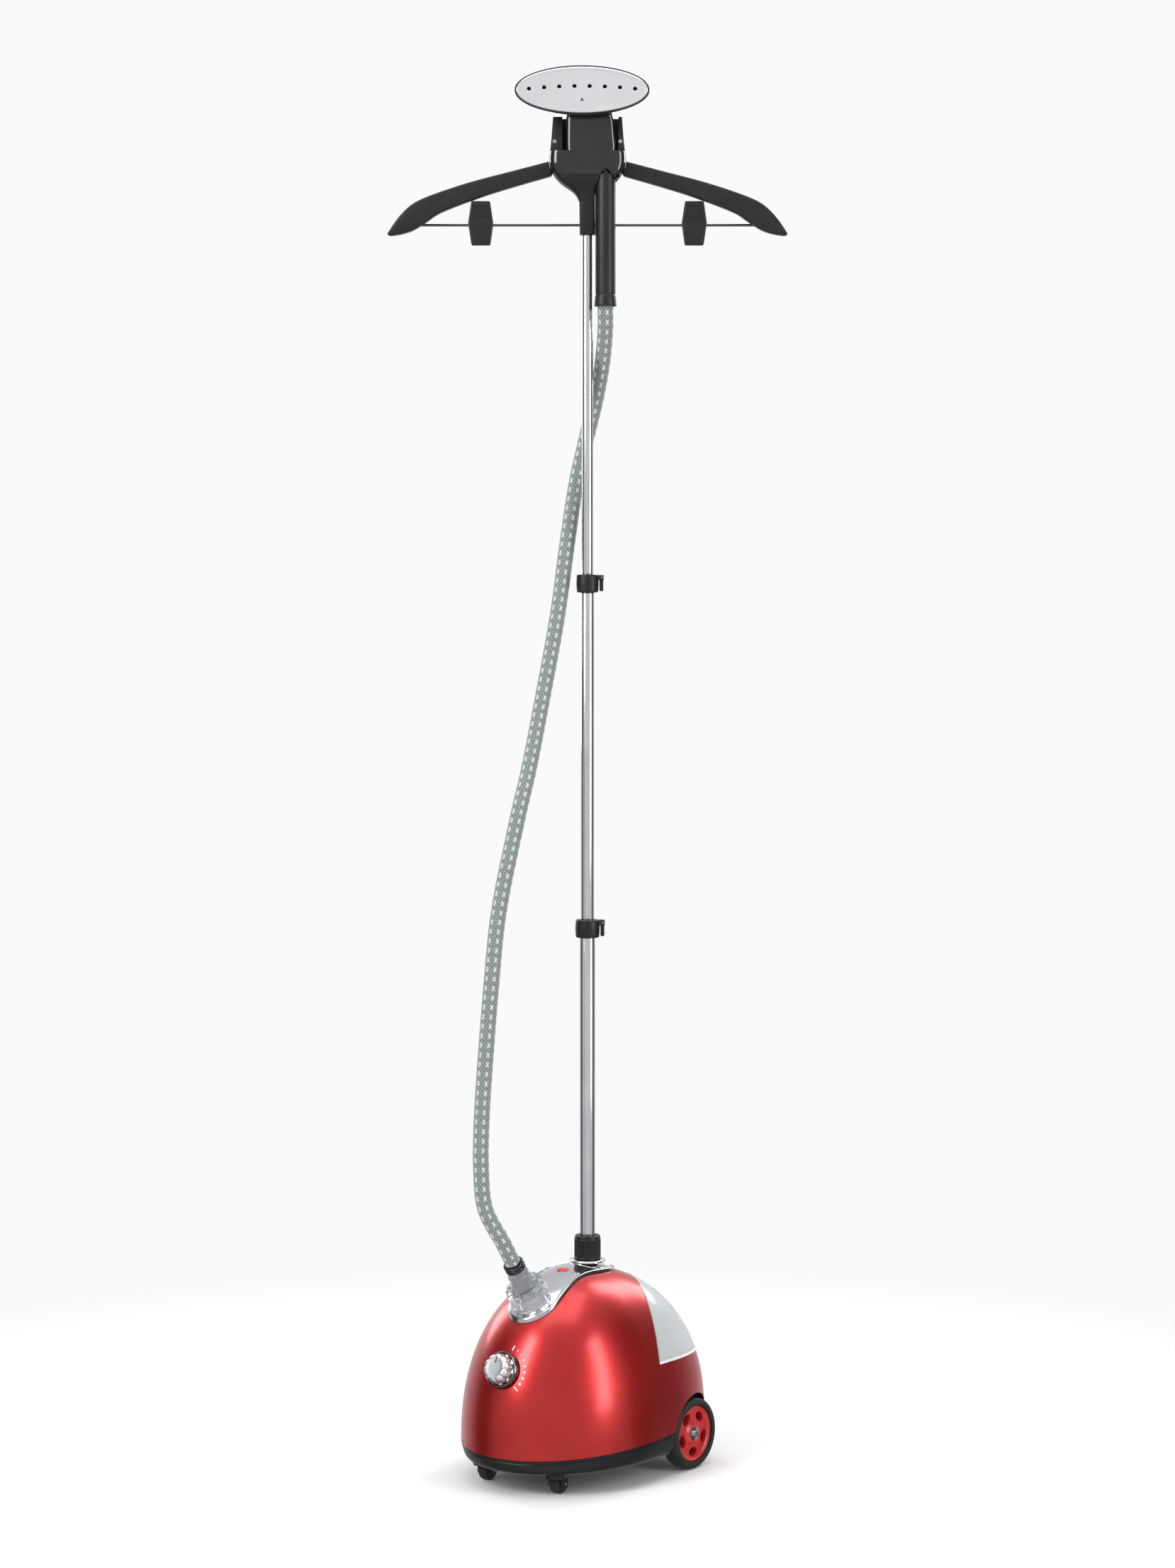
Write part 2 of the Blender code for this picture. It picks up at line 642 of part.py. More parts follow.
def make_casters():
    for side, word in ((-1, "left"), (1, "right")):
        pivot = at(side * CASTER_X, CASTER_Y, 0)
        fork = rod(f"caster_fork_{word}", 0.0125, 0.0185, 0.0235, pivot, 24)
        boolean(fork, rod(f"caster_stem_{word}", 0.0038, 0.0200, 0.0370, pivot), "UNION")
        for leg in (-1, 1):
            low, high = sorted((leg * 0.0072, leg * 0.0098))
            name = f"caster_leg_{word}_{leg}"
            boolean(fork, box(name, (low, CASTER_TRAIL - 0.006, 0.0075), (high, CASTER_TRAIL + 0.004, 0.0200), pivot),
                    "UNION")
        axle_place = sideways(side * CASTER_X, CASTER_Y + CASTER_TRAIL, CASTER_RADIUS)
        boolean(fork, rod(f"caster_bore_{word}", 0.0021, -0.012, 0.012, axle_place, 12))
        boolean(fork, rod(f"caster_room_{word}", CASTER_RADIUS + 0.0006, -0.0069, 0.0069, axle_place, 24))
        finish(fork, "black_plastic")
        wheel = [
            (0.0021, -0.0060), (0.0021, 0.0060), (0.0110, 0.0060), (CASTER_RADIUS, 0.0045),
            (CASTER_RADIUS, -0.0045), (0.0110, -0.0060),
        ]
        finish(turned(f"caster_wheel_{word}", wheel, axle_place, 18), "rubber")
        finish(rod(f"caster_axle_{word}", 0.0018, -0.0098, 0.0098, axle_place, 12), "steel")


# ---------------------------------------------------------------- pole
def make_pole():
    ring = [(0.0128, 0.2344), (0.0128, 0.2370), (0.0190, 0.2370), (0.0205, 0.2358), (0.0205, 0.2344)]
    finish(turned("socket_ring", ring, steps=24), "chrome")
    finish(pipe("pole_socket", LOWER_RADIUS + GAP, 0.0122, 0.180, 0.2600), "black_plastic")
    collar = [
        (0.0125, COLLAR_BASE), (0.0125, 0.2606), (LOWER_RADIUS + 0.0005, 0.2606), (LOWER_RADIUS + 0.0005, COLLAR_TOP),
        (0.0140, COLLAR_TOP), (0.0150, COLLAR_TOP - 0.0010), (0.0150, COLLAR_BASE),
    ]
    finish(turned("pole_collar", collar, steps=20), "black_plastic")
    lower = (LOWER_RADIUS, 0.185, CLAMP_LOW_Z)
    middle = (MIDDLE_RADIUS, 0.560, CLAMP_HIGH_Z)
    upper = (UPPER_RADIUS, 0.950, POLE_TOP)
    for name, (radius, low, high) in (("pole_lower", lower), ("pole_middle", middle), ("pole_upper", upper)):
        finish(pipe(name, radius - TUBE_WALL, radius, low, high), "chrome")
    for name, height, outer, inner in (
        ("lower", CLAMP_LOW_Z, LOWER_RADIUS, MIDDLE_RADIUS),
        ("upper", CLAMP_HIGH_Z, MIDDLE_RADIUS, UPPER_RADIUS),
    ):
        make_clamp(name, height, outer, inner)


def make_clamp(name, height, outer, inner):
    """A collar on the end of one tube that the next slides through, and the flip lever that pinches it."""
    wall = outer + 0.0045
    profile = [
        (outer + GAP, -0.010), (outer + GAP, 0.0006), (inner + GAP, 0.0006), (inner + GAP, 0.010), (wall, 0.010),
        (wall + 0.0005, 0), (wall, -0.010),
    ]
    turn = at(0, 0, height)
    collar = turned(f"clamp_{name}", profile, turn, 18, HANGER)
    for side in (-1, 1):
        low, high = sorted((side * 0.0048, side * 0.0068))
        ear = box(f"ear_{name}_{side}", (wall - 0.0015, low, 0.0035), (wall + 0.0062, high, 0.0095), turn, 0, HANGER)
        boolean(collar, ear, "UNION")
    finish(collar, "black_plastic")
    lever = box(f"clamp_lever_{name}", (wall + 0.0013, -0.0045, -0.0085), (wall + 0.0058, 0.0045, 0.0080),
                turn, 0.0008, HANGER)
    finish(lever, "black_plastic")


# ---------------------------------------------------------------- hanger
def rounded(half_x, half_y, height, count=20, power=5, shift=0):
    ring = []
    for i in range(count):
        angle = 2 * math.pi * i / count
        c, s = math.cos(angle), math.sin(angle)
        radius = (abs(c / half_x) ** power + abs(s / half_y) ** power) ** (-1 / power)
        ring.append((shift + radius * c, radius * s, height))
    return ring


def hub_form(name):
    sections = [
        (0.0088, 0.0088, STEM_BOTTOM), (0.0092, 0.0092, 1.424), (0.0150, 0.0120, 1.434), (0.0310, 0.0190, 1.446),
        (0.0400, 0.0225, 1.458), (0.0425, 0.0235, 1.470), (0.0405, 0.0230, 1.490), (0.0385, 0.0220, HUB_TOP),
    ]
    return loft(name, [rounded(*section) for section in sections], Matrix(), HANGER)


def make_hub():
    """The cradle on top of the pole: a back half with the stem, and a front cover."""
    hub = hub_form("hanger_hub")
    pocket = ((-0.0280, -0.0175, 1.4500), (0.0345, 0.0080, 1.60))
    boolean(hub, box("hub_pocket", *pocket, parent=HANGER))
    boolean(hub, rod("handle_way", 0.0125, 1.38, 1.46, at(HANDLE_X, HANDLE_Y, 0), 24, HANGER))
    boolean(hub, box("hub_front", (-0.06, -0.05, COVER_BOTTOM - GAP), (0.06, -0.0110, 1.60), parent=HANGER))
    boolean(hub, rod("stem_bore", UPPER_RADIUS + GAP, 1.37, POLE_TOP + 0.0005, steps=20, parent=HANGER))
    boolean(hub, rod("spigot", UPPER_RADIUS - TUBE_WALL - GAP, 1.34, 1.42, steps=20, parent=HANGER), "UNION")
    bar = sideways(0, BAR_Y, BAR_Z)
    boolean(hub, rod("stem_cross_hole", BAR_RADIUS + GAP, -0.03, 0.03, bar, 12, HANGER))
    finish(hub, "black_plastic")

    cover = hub_form("cradle_cover")
    boolean(cover, box("cover_pocket", *pocket, parent=HANGER))
    boolean(cover, rod("cover_way", 0.0125, 1.38, 1.46, at(HANDLE_X, HANDLE_Y, 0), 24, HANGER))
    boolean(cover, rod("handle_rise", 0.0118, 1.44, 1.60, at(HANDLE_X, HANDLE_Y, 0), 24, HANGER))
    keep = box("cover_keep", (-0.06, -0.05, COVER_BOTTOM), (0.06, -0.0110 - GAP, COVER_TOP), parent=HANGER)
    boolean(cover, keep, "INTERSECT")
    finish(cover, "black_plastic")


def make_arms():
    """Two arms that droop from the hub to pointed tips, thicker and hollowed underneath near the tip."""
    shape = [
        (0.0375, 1.4700), (0.080, 1.4590), (0.130, 1.4460), (0.170, 1.4330), (0.192, 1.4235), (0.205, 1.4130),
        (0.215, 1.4010), (TIP_X, 1.3880), (0.2190, 1.3868), (0.2060, 1.3890), (0.1930, 1.3935), (0.1780, 1.4030),
        (0.1620, 1.4130), (0.120, 1.4290), (0.080, 1.4415), (0.0395, 1.4530),
    ]
    upright = Matrix.Rotation(math.pi / 2, 4, "X")
    for side, word in ((-1, "left"), (1, "right")):
        arm = plate(f"hanger_arm_{word}", [(side * x, z) for x, z in shape], -0.0075, 0.0075, upright, HANGER)
        round_edges(arm, 0.0020)
        reach = sorted((side * 0.17, side * 0.1935))
        boolean(arm, rod(f"bar_seat_{word}", BAR_RADIUS + GAP, *reach, sideways(0, BAR_Y, BAR_Z), 12, HANGER))
        hub_room = hub_form(f"hub_room_{word}")
        grown = hub_room.modifiers.new("room", "DISPLACE")
        grown.strength = 0.0004
        boolean(arm, hub_room)
        finish(arm, "black_plastic")
    finish(rod("cross_bar", BAR_RADIUS, -0.193, 0.193, sideways(0, BAR_Y, BAR_Z), 12, HANGER), "steel")


def make_clips():
    """Clips on the bar: a back jaw that slides, and a front jaw that pinches the cloth against it."""
    half = CLIP_HALF_HEIGHT
    outline = [(-0.0105, half), (0.0105, half), (0.0140, 0), (0.0105, -half), (-0.0105, -half), (-0.0140, 0)]
    upright = Matrix.Rotation(math.pi / 2, 4, "X")
    for side, word in ((-1, "left"), (1, "right")):
        spot = at(side * CLIP_X, BAR_Y, BAR_Z + 0.002) @ upright
        back = plate(f"clip_{word}", outline, -0.0085, -0.0022, spot, HANGER)
        round_edges(back, 0.0012)
        boolean(back, box(f"clip_lug_{word}", (-0.0040, -0.0090, -0.0060), (0.0040, 0.0040, 0.0019), spot,
                          0, HANGER), "UNION")
        boolean(back, rod(f"clip_bore_{word}", BAR_RADIUS + GAP, -0.02, 0.02,
                          sideways(side * CLIP_X, BAR_Y, BAR_Z), 12, HANGER))
        finish(back, "black_plastic")
        front = plate(f"clip_jaw_{word}", outline, 0.0040, 0.0085, spot, HANGER)
        round_edges(front, 0.0012)
        finish(front, "black_plastic")


# ---------------------------------------------------------------- steam head
def oval(half_x, half_z, count=32):
    return [(half_x * math.cos(2 * math.pi * i / count), half_z * math.sin(2 * math.pi * i / count))
            for i in range(count)]


def make_head():
    face = at(HEAD_X, 0, HEAD_Z) @ Matrix.Rotation(math.pi / 2, 4, "X")
    front = plate("face_plate", oval(PLATE_HALF_WIDTH - 0.0008, PLATE_HALF_HEIGHT - 0.0008), -PLATE_Y - 0.004,
                  -PLATE_Y, face, HANGER)
    for hole in range(8):
        along = hole / 3.5 - 1
        spot = face @ at(0.0585 * along, 0.0040 - 0.0030 * along**2, 0)
        boolean(front, rod(f"steam_hole_{hole}", 0.0017, 0.02, 0.06, spot, 8, HANGER))
    finish(front, "chrome")

    sections = [(0.026, 0.015, 0.000), (0.036, 0.019, 0.008), (0.056, 0.0235, 0.018), (0.0700, 0.0265, 0.027),
                (PLATE_HALF_WIDTH + 0.001, PLATE_HALF_HEIGHT + 0.0010, 0.0330),
                (PLATE_HALF_WIDTH + 0.001, PLATE_HALF_HEIGHT + 0.0010, 0.0388)]
    rings = [[(x, z, depth) for x, z in oval(half_x, half_z)] for half_x, half_z, depth in sections]
    shell = loft("head_shell", rings, face, HANGER)
    recess = plate("plate_recess", oval(PLATE_HALF_WIDTH - 0.0005, PLATE_HALF_HEIGHT - 0.0005),
                   -PLATE_Y - 0.0043, 0.05, face, HANGER)
    boolean(shell, recess)
    chamber = plate("steam_chamber", oval(PLATE_HALF_WIDTH - 0.010, PLATE_HALF_HEIGHT - 0.008), 0.026, 0.038, face,
                    HANGER)
    boolean(shell, chamber)
    neck = loft("head_neck", [rounded(0.026, 0.0080, 1.4545, 20, 4, 0.004), rounded(0.028, 0.0092, 1.485, 20, 4, 0.004),
                              rounded(0.024, 0.0092, 1.532, 20, 4, 0.001)], at(0, -0.0077, 0), HANGER)
    boolean(shell, neck, "UNION")
    boolean(shell, rod("steam_way", 0.0060, 1.44, 1.545, at(HANDLE_X - 0.004, HANDLE_Y, 0), 16, HANGER))
    finish(shell, "black_plastic")

    grip_place = at(HANDLE_X, HANDLE_Y, 0)
    grip = [
        (0.0095, HANDLE_BOTTOM), (0.0095, 1.4542), (HANDLE_RADIUS, 1.4542), (HANDLE_RADIUS, HANDLE_BOTTOM + 0.010),
        (0.0124, HANDLE_BOTTOM + 0.001), (0.0120, HANDLE_BOTTOM),
    ]
    finish(turned("handle_grip", grip, grip_place, 18, HANGER), "black_plastic")


# ---------------------------------------------------------------- hose
def hose_route():
    """From the connector on the crown, round behind the pole, up into the handle. Each point is (right, back,
    height) as seen from the hanger's front, in its turned frame."""
    to_hanger = Matrix.Rotation(-HANGER_TURN, 4, "Z")
    start = to_hanger @ (PORT @ Vector((0, 0, CONNECTOR_LENGTH + 0.0012)))
    second = to_hanger @ (PORT @ Vector((0, 0, CONNECTOR_LENGTH + 0.030)))
    free = [
        (-0.1120, -0.129, 0.316), (-0.1165, -0.130, 0.360), (-0.1160, -0.126, 0.410), (-0.1125, -0.119, 0.470),
        (-0.1060, -0.106, 0.555), (-0.0975, -0.090, 0.640), (-0.0780, -0.065, 0.738), (-0.0650, -0.043, 0.795),
        (-0.0510, -0.020, 0.868), (-0.0340, 0.000, 0.962), (-0.0235, 0.012, 1.040), (-0.0130, 0.0225, 1.110),
        (-0.0020, 0.0265, 1.160), (0.0090, 0.0235, 1.205), (0.0165, 0.0120, 1.245), (0.0198, -0.0030, 1.280),
    ]
    return [start, second] + [Vector(point) for point in free] + [Vector((HANDLE_X, HANDLE_Y, HANDLE_BOTTOM - GAP))]


def make_hose():
    hose = curve_rod("hose", smooth_points(hose_route(), 36), HOSE_RADIUS, HANGER, 2)
    finish(hose, "hose_fabric")


make_base_tray()
make_body_shell()
make_top_panel()
make_port()
make_knob()
make_tank()
make_latch()
make_inside()
make_wheels()
make_casters()
make_pole()
make_hub()
make_arms()
make_clips()
make_head()
make_hose()
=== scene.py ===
"""Looks of the garment steamer: fine visual pieces, materials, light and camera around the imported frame."""

from math import acos, asin, atan2, cos, hypot, pi, radians, sin, sqrt

import bmesh
import bpy
from mathutils import Matrix, Vector


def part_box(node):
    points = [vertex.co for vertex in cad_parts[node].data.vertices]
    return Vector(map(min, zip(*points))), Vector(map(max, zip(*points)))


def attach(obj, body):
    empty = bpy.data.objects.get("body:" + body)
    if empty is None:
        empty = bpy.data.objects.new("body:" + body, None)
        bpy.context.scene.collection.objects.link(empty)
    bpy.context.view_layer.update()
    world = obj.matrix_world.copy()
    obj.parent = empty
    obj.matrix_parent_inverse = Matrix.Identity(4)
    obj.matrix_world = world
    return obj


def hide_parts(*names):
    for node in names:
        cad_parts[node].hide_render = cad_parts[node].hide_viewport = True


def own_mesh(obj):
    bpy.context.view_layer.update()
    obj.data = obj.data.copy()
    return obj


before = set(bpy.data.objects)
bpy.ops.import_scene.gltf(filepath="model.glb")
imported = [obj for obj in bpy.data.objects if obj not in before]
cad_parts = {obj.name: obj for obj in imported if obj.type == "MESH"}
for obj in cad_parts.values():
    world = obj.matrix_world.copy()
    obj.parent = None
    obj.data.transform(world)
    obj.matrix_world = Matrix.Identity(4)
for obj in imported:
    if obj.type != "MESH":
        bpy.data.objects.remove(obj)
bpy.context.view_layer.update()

# Frame of the base (pole axis) and of the hanger, turned about it
SOCKET_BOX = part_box("pole_socket")
POLE_Y = (SOCKET_BOX[0][1] + SOCKET_BOX[1][1]) / 2
HANGER_TURN = radians(37)
BASE = Matrix.Translation((0, POLE_Y, 0))
HANGER = BASE @ Matrix.Rotation(HANGER_TURN, 4, "Z")
UPRIGHT = Matrix.Rotation(pi / 2, 4, "X")
SIDES = ((-1, "left"), (1, "right"))

# Dome
HALF_WIDTH, CENTRE_Y, FRONT_LENGTH, REAR_LENGTH = 0.113, -0.02, 0.15, 0.145
FRONT_POWER, REAR_POWER, DOME_TOP, DOME_POWER = 2.1, 3.5, 0.232, 2.3
EDGE_HEIGHT, EDGE_SLOPE, WALL, TRAY_FLOOR = 0.05, 0.05, 0.0024, 0.024

# Base details
WHEEL_RADIUS, WHEEL_WIDTH, WHEEL_X, WHEEL_Y, ARCH_RADIUS = 0.04, 0.022, 0.098, 0.06, 0.046
CASTER_X, CASTER_Y, CASTER_RADIUS = 0.05, -0.125, 0.011
PANEL_HALF_WIDTH, PANEL_REAR_Y, PANEL_FRONT_Y = 0.031, 0.03, -0.126
PANEL_FRONT, PANEL_REAR = PANEL_FRONT_Y + PANEL_HALF_WIDTH, PANEL_REAR_Y - PANEL_HALF_WIDTH  # centres of round ends
PORT_Y, PORT_TILT, KNOB_HEIGHT, KNOB_TILT = -0.103, radians(35), 0.136, radians(68)
LENS_Y, TANK_FLOOR, TANK_WALL, NECK_Y, WATER_LEVEL = -0.047, 0.13, 0.0024, 0.07, 0.178
LATCH_Y, DRAIN_Y = 0.092, 0.08

# Pole, hanger and head
LOWER_RADIUS, MIDDLE_RADIUS, UPPER_RADIUS, TUBE_WALL = 0.00875, 0.0075, 0.0063, 0.0009
CLAMP_LOW_Z, CLAMP_HIGH_Z, COLLAR_BASE, COLLAR_TOP = 0.612, 1.0, 0.2373, 0.264
BAR_Z, BAR_RADIUS, BAR_Y, TIP_X = 1.399, 0.0015, 0.0032, 0.2236
HUB_TOP, COVER_TOP, COVER_BOTTOM, STEM_BOTTOM, POLE_TOP = 1.517, 1.479, 1.4525, 1.388, 1.3955
HEAD_X, HEAD_Z, PLATE_HALF_WIDTH, PLATE_HALF_HEIGHT = -0.006, 1.543, 0.0735, 0.026
HANDLE_X, HANDLE_Y, HANDLE_RADIUS, HANDLE_BOTTOM = 0.02, -0.01, 0.0112, 1.308
CLIP_X, CLIP_HALF_HEIGHT = 0.119, 0.024
HOSE_RADIUS, CONNECTOR_LENGTH, HOSE_REACH = 0.0088, 0.059, 0.12
HOSE_SIDES, WEAVE_PITCH = 48, 0.0052
FLOOR_RADIUS = 1.3


# ---- camera
def make_camera():
    """A little above the pole's middle, off the front right corner of the base."""
    azimuth, distance, eye_height, aim_height = radians(37), 4.0, 1.0, 0.775
    sensor, view_height = 24, 1.76
    eye = Vector((sin(azimuth) * distance, POLE_Y - cos(azimuth) * distance, eye_height))
    aim = Vector((0.0, POLE_Y, aim_height))
    camera = bpy.data.objects.new("camera", bpy.data.cameras.new("camera"))
    bpy.context.scene.collection.objects.link(camera)
    camera.location = eye
    camera.rotation_euler = (aim - eye).to_track_quat("-Z", "Y").to_euler()
    camera.data.sensor_width = sensor
    camera.data.lens = sensor * distance / view_height
    bpy.context.scene.camera = camera


# ---- mesh helpers
def mesh_object(name, bm, matrix):
    mesh = bpy.data.meshes.new(name)
    bm.to_mesh(mesh)
    bm.free()
    mesh.transform(matrix)
    obj = bpy.data.objects.new(name, mesh)
    bpy.context.scene.collection.objects.link(obj)
    return obj


def apply_modifiers(obj):
    bpy.context.view_layer.update()
    graph = bpy.context.evaluated_depsgraph_get()
    mesh = bpy.data.meshes.new_from_object(obj.evaluated_get(graph))
    obj.modifiers.clear()
    obj.data = mesh
    return obj


def smooth(obj, angle=35):
    obj.data.shade_smooth()
    obj.data.set_sharp_from_angle(angle=radians(angle))
    return obj


def cut(obj, *others, operation="DIFFERENCE"):
    """Cuts the other objects out of the first, and removes them."""
    for other in others:
        step = obj.modifiers.new("cut", "BOOLEAN")
        step.operation = operation
        step.solver = "MANIFOLD"
        step.object = other
        apply_modifiers(obj)
        bpy.data.objects.remove(other)
    return obj


def join(obj, other):
    return cut(obj, other, operation="UNION")


def trim(obj, other):
    """Keeps what lies inside the other object."""
    return cut(obj, other, operation="INTERSECT")


def bevel(obj, width, segments=3, angle=35):
    step = obj.modifiers.new("bevel", "BEVEL")
    step.width = width
    step.segments = segments
    step.limit_method = "ANGLE"
    step.angle_limit = radians(angle)
    return apply_modifiers(obj)


def angles(count):
    return [2 * pi * i / count for i in range(count)]


def grid_faces(bm, rows):
    for low, high in zip(rows, rows[1:]):
        count = len(low)
        for i in range(count):
            j = (i + 1) % count
            bm.faces.new((low[i], low[j], high[j], high[i]))


def outward(bm):
    bmesh.ops.recalc_face_normals(bm, faces=bm.faces)


def weld(bm):
    bmesh.ops.remove_doubles(bm, verts=bm.verts, dist=1e-7)
    outward(bm)


def loft(name, rings, matrix):
    """A solid through rings of equally many points, closed at both ends."""
    bm = bmesh.new()
    rows = [[bm.verts.new(point) for point in ring] for ring in rings]
    grid_faces(bm, rows)
    bm.faces.new(rows[-1])
    bm.faces.new(rows[0][::-1])
    outward(bm)
    return mesh_object(name, bm, matrix)


def lathe(name, profile, matrix, steps=72, radial=None):
    """A turned solid. radial(angle, radius, height) may change a point's radius, for flutes and ribs."""
    ring = all(radius > 1e-9 for radius, _ in profile)
    bm = bmesh.new()
    rows = []
    for radius, height in profile:
        row = []
        for angle in angles(steps):
            r = radial(angle, radius, height) if radial and radius > 1e-9 else radius
            row.append(bm.verts.new((r * cos(angle), r * sin(angle), height)))
        rows.append(row)
    if ring:
        rows.append(rows[0])
    grid_faces(bm, rows)
    weld(bm)
    return smooth(mesh_object(name, bm, matrix))


def mm(points):
    """Points given in millimetres, in metres."""
    return [tuple(round(value / 1000, 8) for value in point) for point in points]


def rounded_profile(points, radius, count):
    """A profile of corners with each one rounded off, but those on the axis."""
    made = []
    total = len(points)
    open_ends = any(point[0] < 1e-9 for point in points)
    for i, point in enumerate(points):
        here = Vector(point)
        before, after = Vector(points[i - 1]), Vector(points[(i + 1) % total])
        if here.x < 1e-9 or (open_ends and i in (0, total - 1)):
            made.append(tuple(here))
            continue
        reach = min(radius, (before - here).length * 0.45, (after - here).length * 0.45)
        start = here + (before - here).normalized() * reach
        end = here + (after - here).normalized() * reach
        for step in range(count + 1):
            t = step / count
            made.append(tuple((1 - t) ** 2 * start + 2 * t * (1 - t) * here + t * t * end))
    return made


def box(name, low, high, matrix):
    bm = bmesh.new()
    bmesh.ops.create_cube(bm, size=1)
    bmesh.ops.scale(bm, vec=[b - a for a, b in zip(low, high)], verts=bm.verts)
    bmesh.ops.translate(bm, vec=[(a + b) / 2 for a, b in zip(low, high)], verts=bm.verts)
    return mesh_object(name, bm, matrix)


def rod(name, radius, low, high, matrix, steps=64):
    return lathe(name, [(0, high), (radius, high), (radius, low), (0, low)], matrix, steps)


def tube(name, inner, outer, low, high):
    profile = rounded_profile([(inner, low), (inner, high), (outer, high), (outer, low)], 0.0003, 2)
    return lathe(name, profile, BASE, 96)


def prism(name, outline, low, high, matrix):
    """An outline of (x, y) points between two heights."""
    return loft(name, [[(x, y, low) for x, y in outline], [(x, y, high) for x, y in outline]], matrix)


def stacked(outline, steps):
    """Rings of one outline, each at a share of its size and at a height."""
    return [[(x * share, y * share, height) for x, y in outline] for share, height in steps]


def mirrored(profile):
    """A profile and its mirror image across height 0."""
    return profile + [(radius, -height) for radius, height in reversed(profile)]


def oval(half_x, half_y, count=72):
    return [(half_x * cos(angle), half_y * sin(angle)) for angle in angles(count)]


def at(x, y, z):
    return Matrix.Translation((x, y, z))


def tilted(x, y, z, tilt):
    return at(x, y, z) @ Matrix.Rotation(tilt, 4, "X")


def sideways(x, y, z):
    return at(x, y, z) @ Matrix.Rotation(pi / 2, 4, "Y")


def smooth_points(points, count):
    """Points at even steps along the Catmull-Rom curve through the given ones."""
    vectors = [Vector(point) for point in points]
    ends = [2 * vectors[0] - vectors[1]] + vectors + [2 * vectors[-1] - vectors[-2]]
    fine = []
    for a, b, c, d in zip(ends, ends[1:], ends[2:], ends[3:]):
        for step in range(20):
            t = step / 20
            fine.append(0.5 * (2 * b + (c - a) * t + (2 * a - 5 * b + 4 * c - d) * t**2
                               + (3 * b - a - 3 * c + d) * t**3))
    fine.append(vectors[-1])
    lengths = [0]
    for first, second in zip(fine, fine[1:]):
        lengths.append(lengths[-1] + (second - first).length)
    chosen = []
    index = 0
    for step in range(count + 1):
        wanted = lengths[-1] * step / count
        while index < len(fine) - 2 and lengths[index + 1] < wanted:
            index += 1
        span = max(lengths[index + 1] - lengths[index], 1e-9)
        chosen.append(fine[index].lerp(fine[index + 1], (wanted - lengths[index]) / span))
    return chosen


# ---- the dome
def edge_height(y):
    return EDGE_HEIGHT + EDGE_SLOPE * y


def plan_radius(angle, inset=0):
    front = sin(angle) < 0
    length = (FRONT_LENGTH if front else REAR_LENGTH) - inset
    power = FRONT_POWER if front else REAR_POWER
    across = abs(cos(angle)) / (HALF_WIDTH - inset)
    along = abs(sin(angle)) / length
    return (across**power + along**power) ** (-1 / power)


def plan_ring(height_at, share=1, inset=0):
    ring = []
    for angle in angles(160):
        radius = plan_radius(angle, inset) * share
        y = CENTRE_Y + radius * sin(angle)
        ring.append((radius * cos(angle), y, height_at(y)))
    return ring


def dome_height(y, rise, inset):
    low = edge_height(y)
    return low + (DOME_TOP - inset - low) * rise


def dome(name, inset=0, drop=0, levels=44):
    """The body's form, shrunk by inset and carried down by drop below its edge."""
    rings = []
    if drop:
        rings.append(plan_ring(lambda y: edge_height(y) - drop, 1, inset))
    for level in list(range(levels)) + [levels - 0.5]:
        lean = pi / 2 * level / levels
        rise = sin(lean) ** (2 / DOME_POWER)
        rings.append(plan_ring(lambda y: dome_height(y, rise, inset), cos(lean), inset))
    return loft(name, rings, BASE)


def skin_height(x, y, lift=0):
    angle = atan2(y - CENTRE_Y, x)
    share = min(hypot(x, y - CENTRE_Y) / plan_radius(angle, -lift), 1)
    return dome_height(y, sin(acos(share)) ** (2 / DOME_POWER), -lift)


def tank_front(x, shift=0):
    reach = min(abs(x) / 0.108, 1)
    return -0.007 + 0.052 * (1 - reach**1.4) + shift


def tank_block(name, grow, low, top=DOME_TOP + 0.03):
    half, steps = 0.135, 60
    front = [half * (2 * i / steps - 1) for i in range(steps + 1)]
    outline = [(x, tank_front(x, -grow)) for x in front] + [(half, 0.17), (-half, 0.17)]
    return prism(name, outline, low, top, BASE)


def panel_width(y):
    beyond = max(PANEL_FRONT - y, y - PANEL_REAR)
    if beyond > 0:
        return sqrt(max(PANEL_HALF_WIDTH**2 - beyond**2, 0))
    along = (y - PANEL_FRONT) / (PANEL_REAR - PANEL_FRONT)
    return PANEL_HALF_WIDTH - 0.0035 * sin(pi * along) ** 2


PORT = BASE @ tilted(0, PORT_Y, skin_height(0, PORT_Y), PORT_TILT)
KNOB_LEAN = asin(((KNOB_HEIGHT - 0.042) / (DOME_TOP - 0.042)) ** (DOME_POWER / 2))
KNOB_PLACE = (0, CENTRE_Y - FRONT_LENGTH * cos(KNOB_LEAN), KNOB_HEIGHT)
KNOB = BASE @ tilted(*KNOB_PLACE, KNOB_TILT)
LENS = BASE @ tilted(0, LENS_Y, skin_height(0, LENS_Y), radians(12))
AXLE = BASE @ sideways(0, WHEEL_Y, WHEEL_RADIUS)
BAR = HANGER @ sideways(0, BAR_Y, BAR_Z)
HANDLE = HANGER @ at(HANDLE_X, HANDLE_Y, 0)


# ---- materials
def add_node(tree, kind, inputs=(), **settings):
    """A new shader node. Its inputs take plain values or other nodes' outputs."""
    node = tree.nodes.new("ShaderNode" + kind)
    for name, value in settings.items():
        setattr(node, name, value)
    for name, value in dict(inputs).items():
        feed(tree, value, node.inputs[name])
    return node


def feed(tree, value, socket):
    if isinstance(value, bpy.types.NodeSocket):
        tree.links.new(value, socket)
    else:
        socket.default_value = value


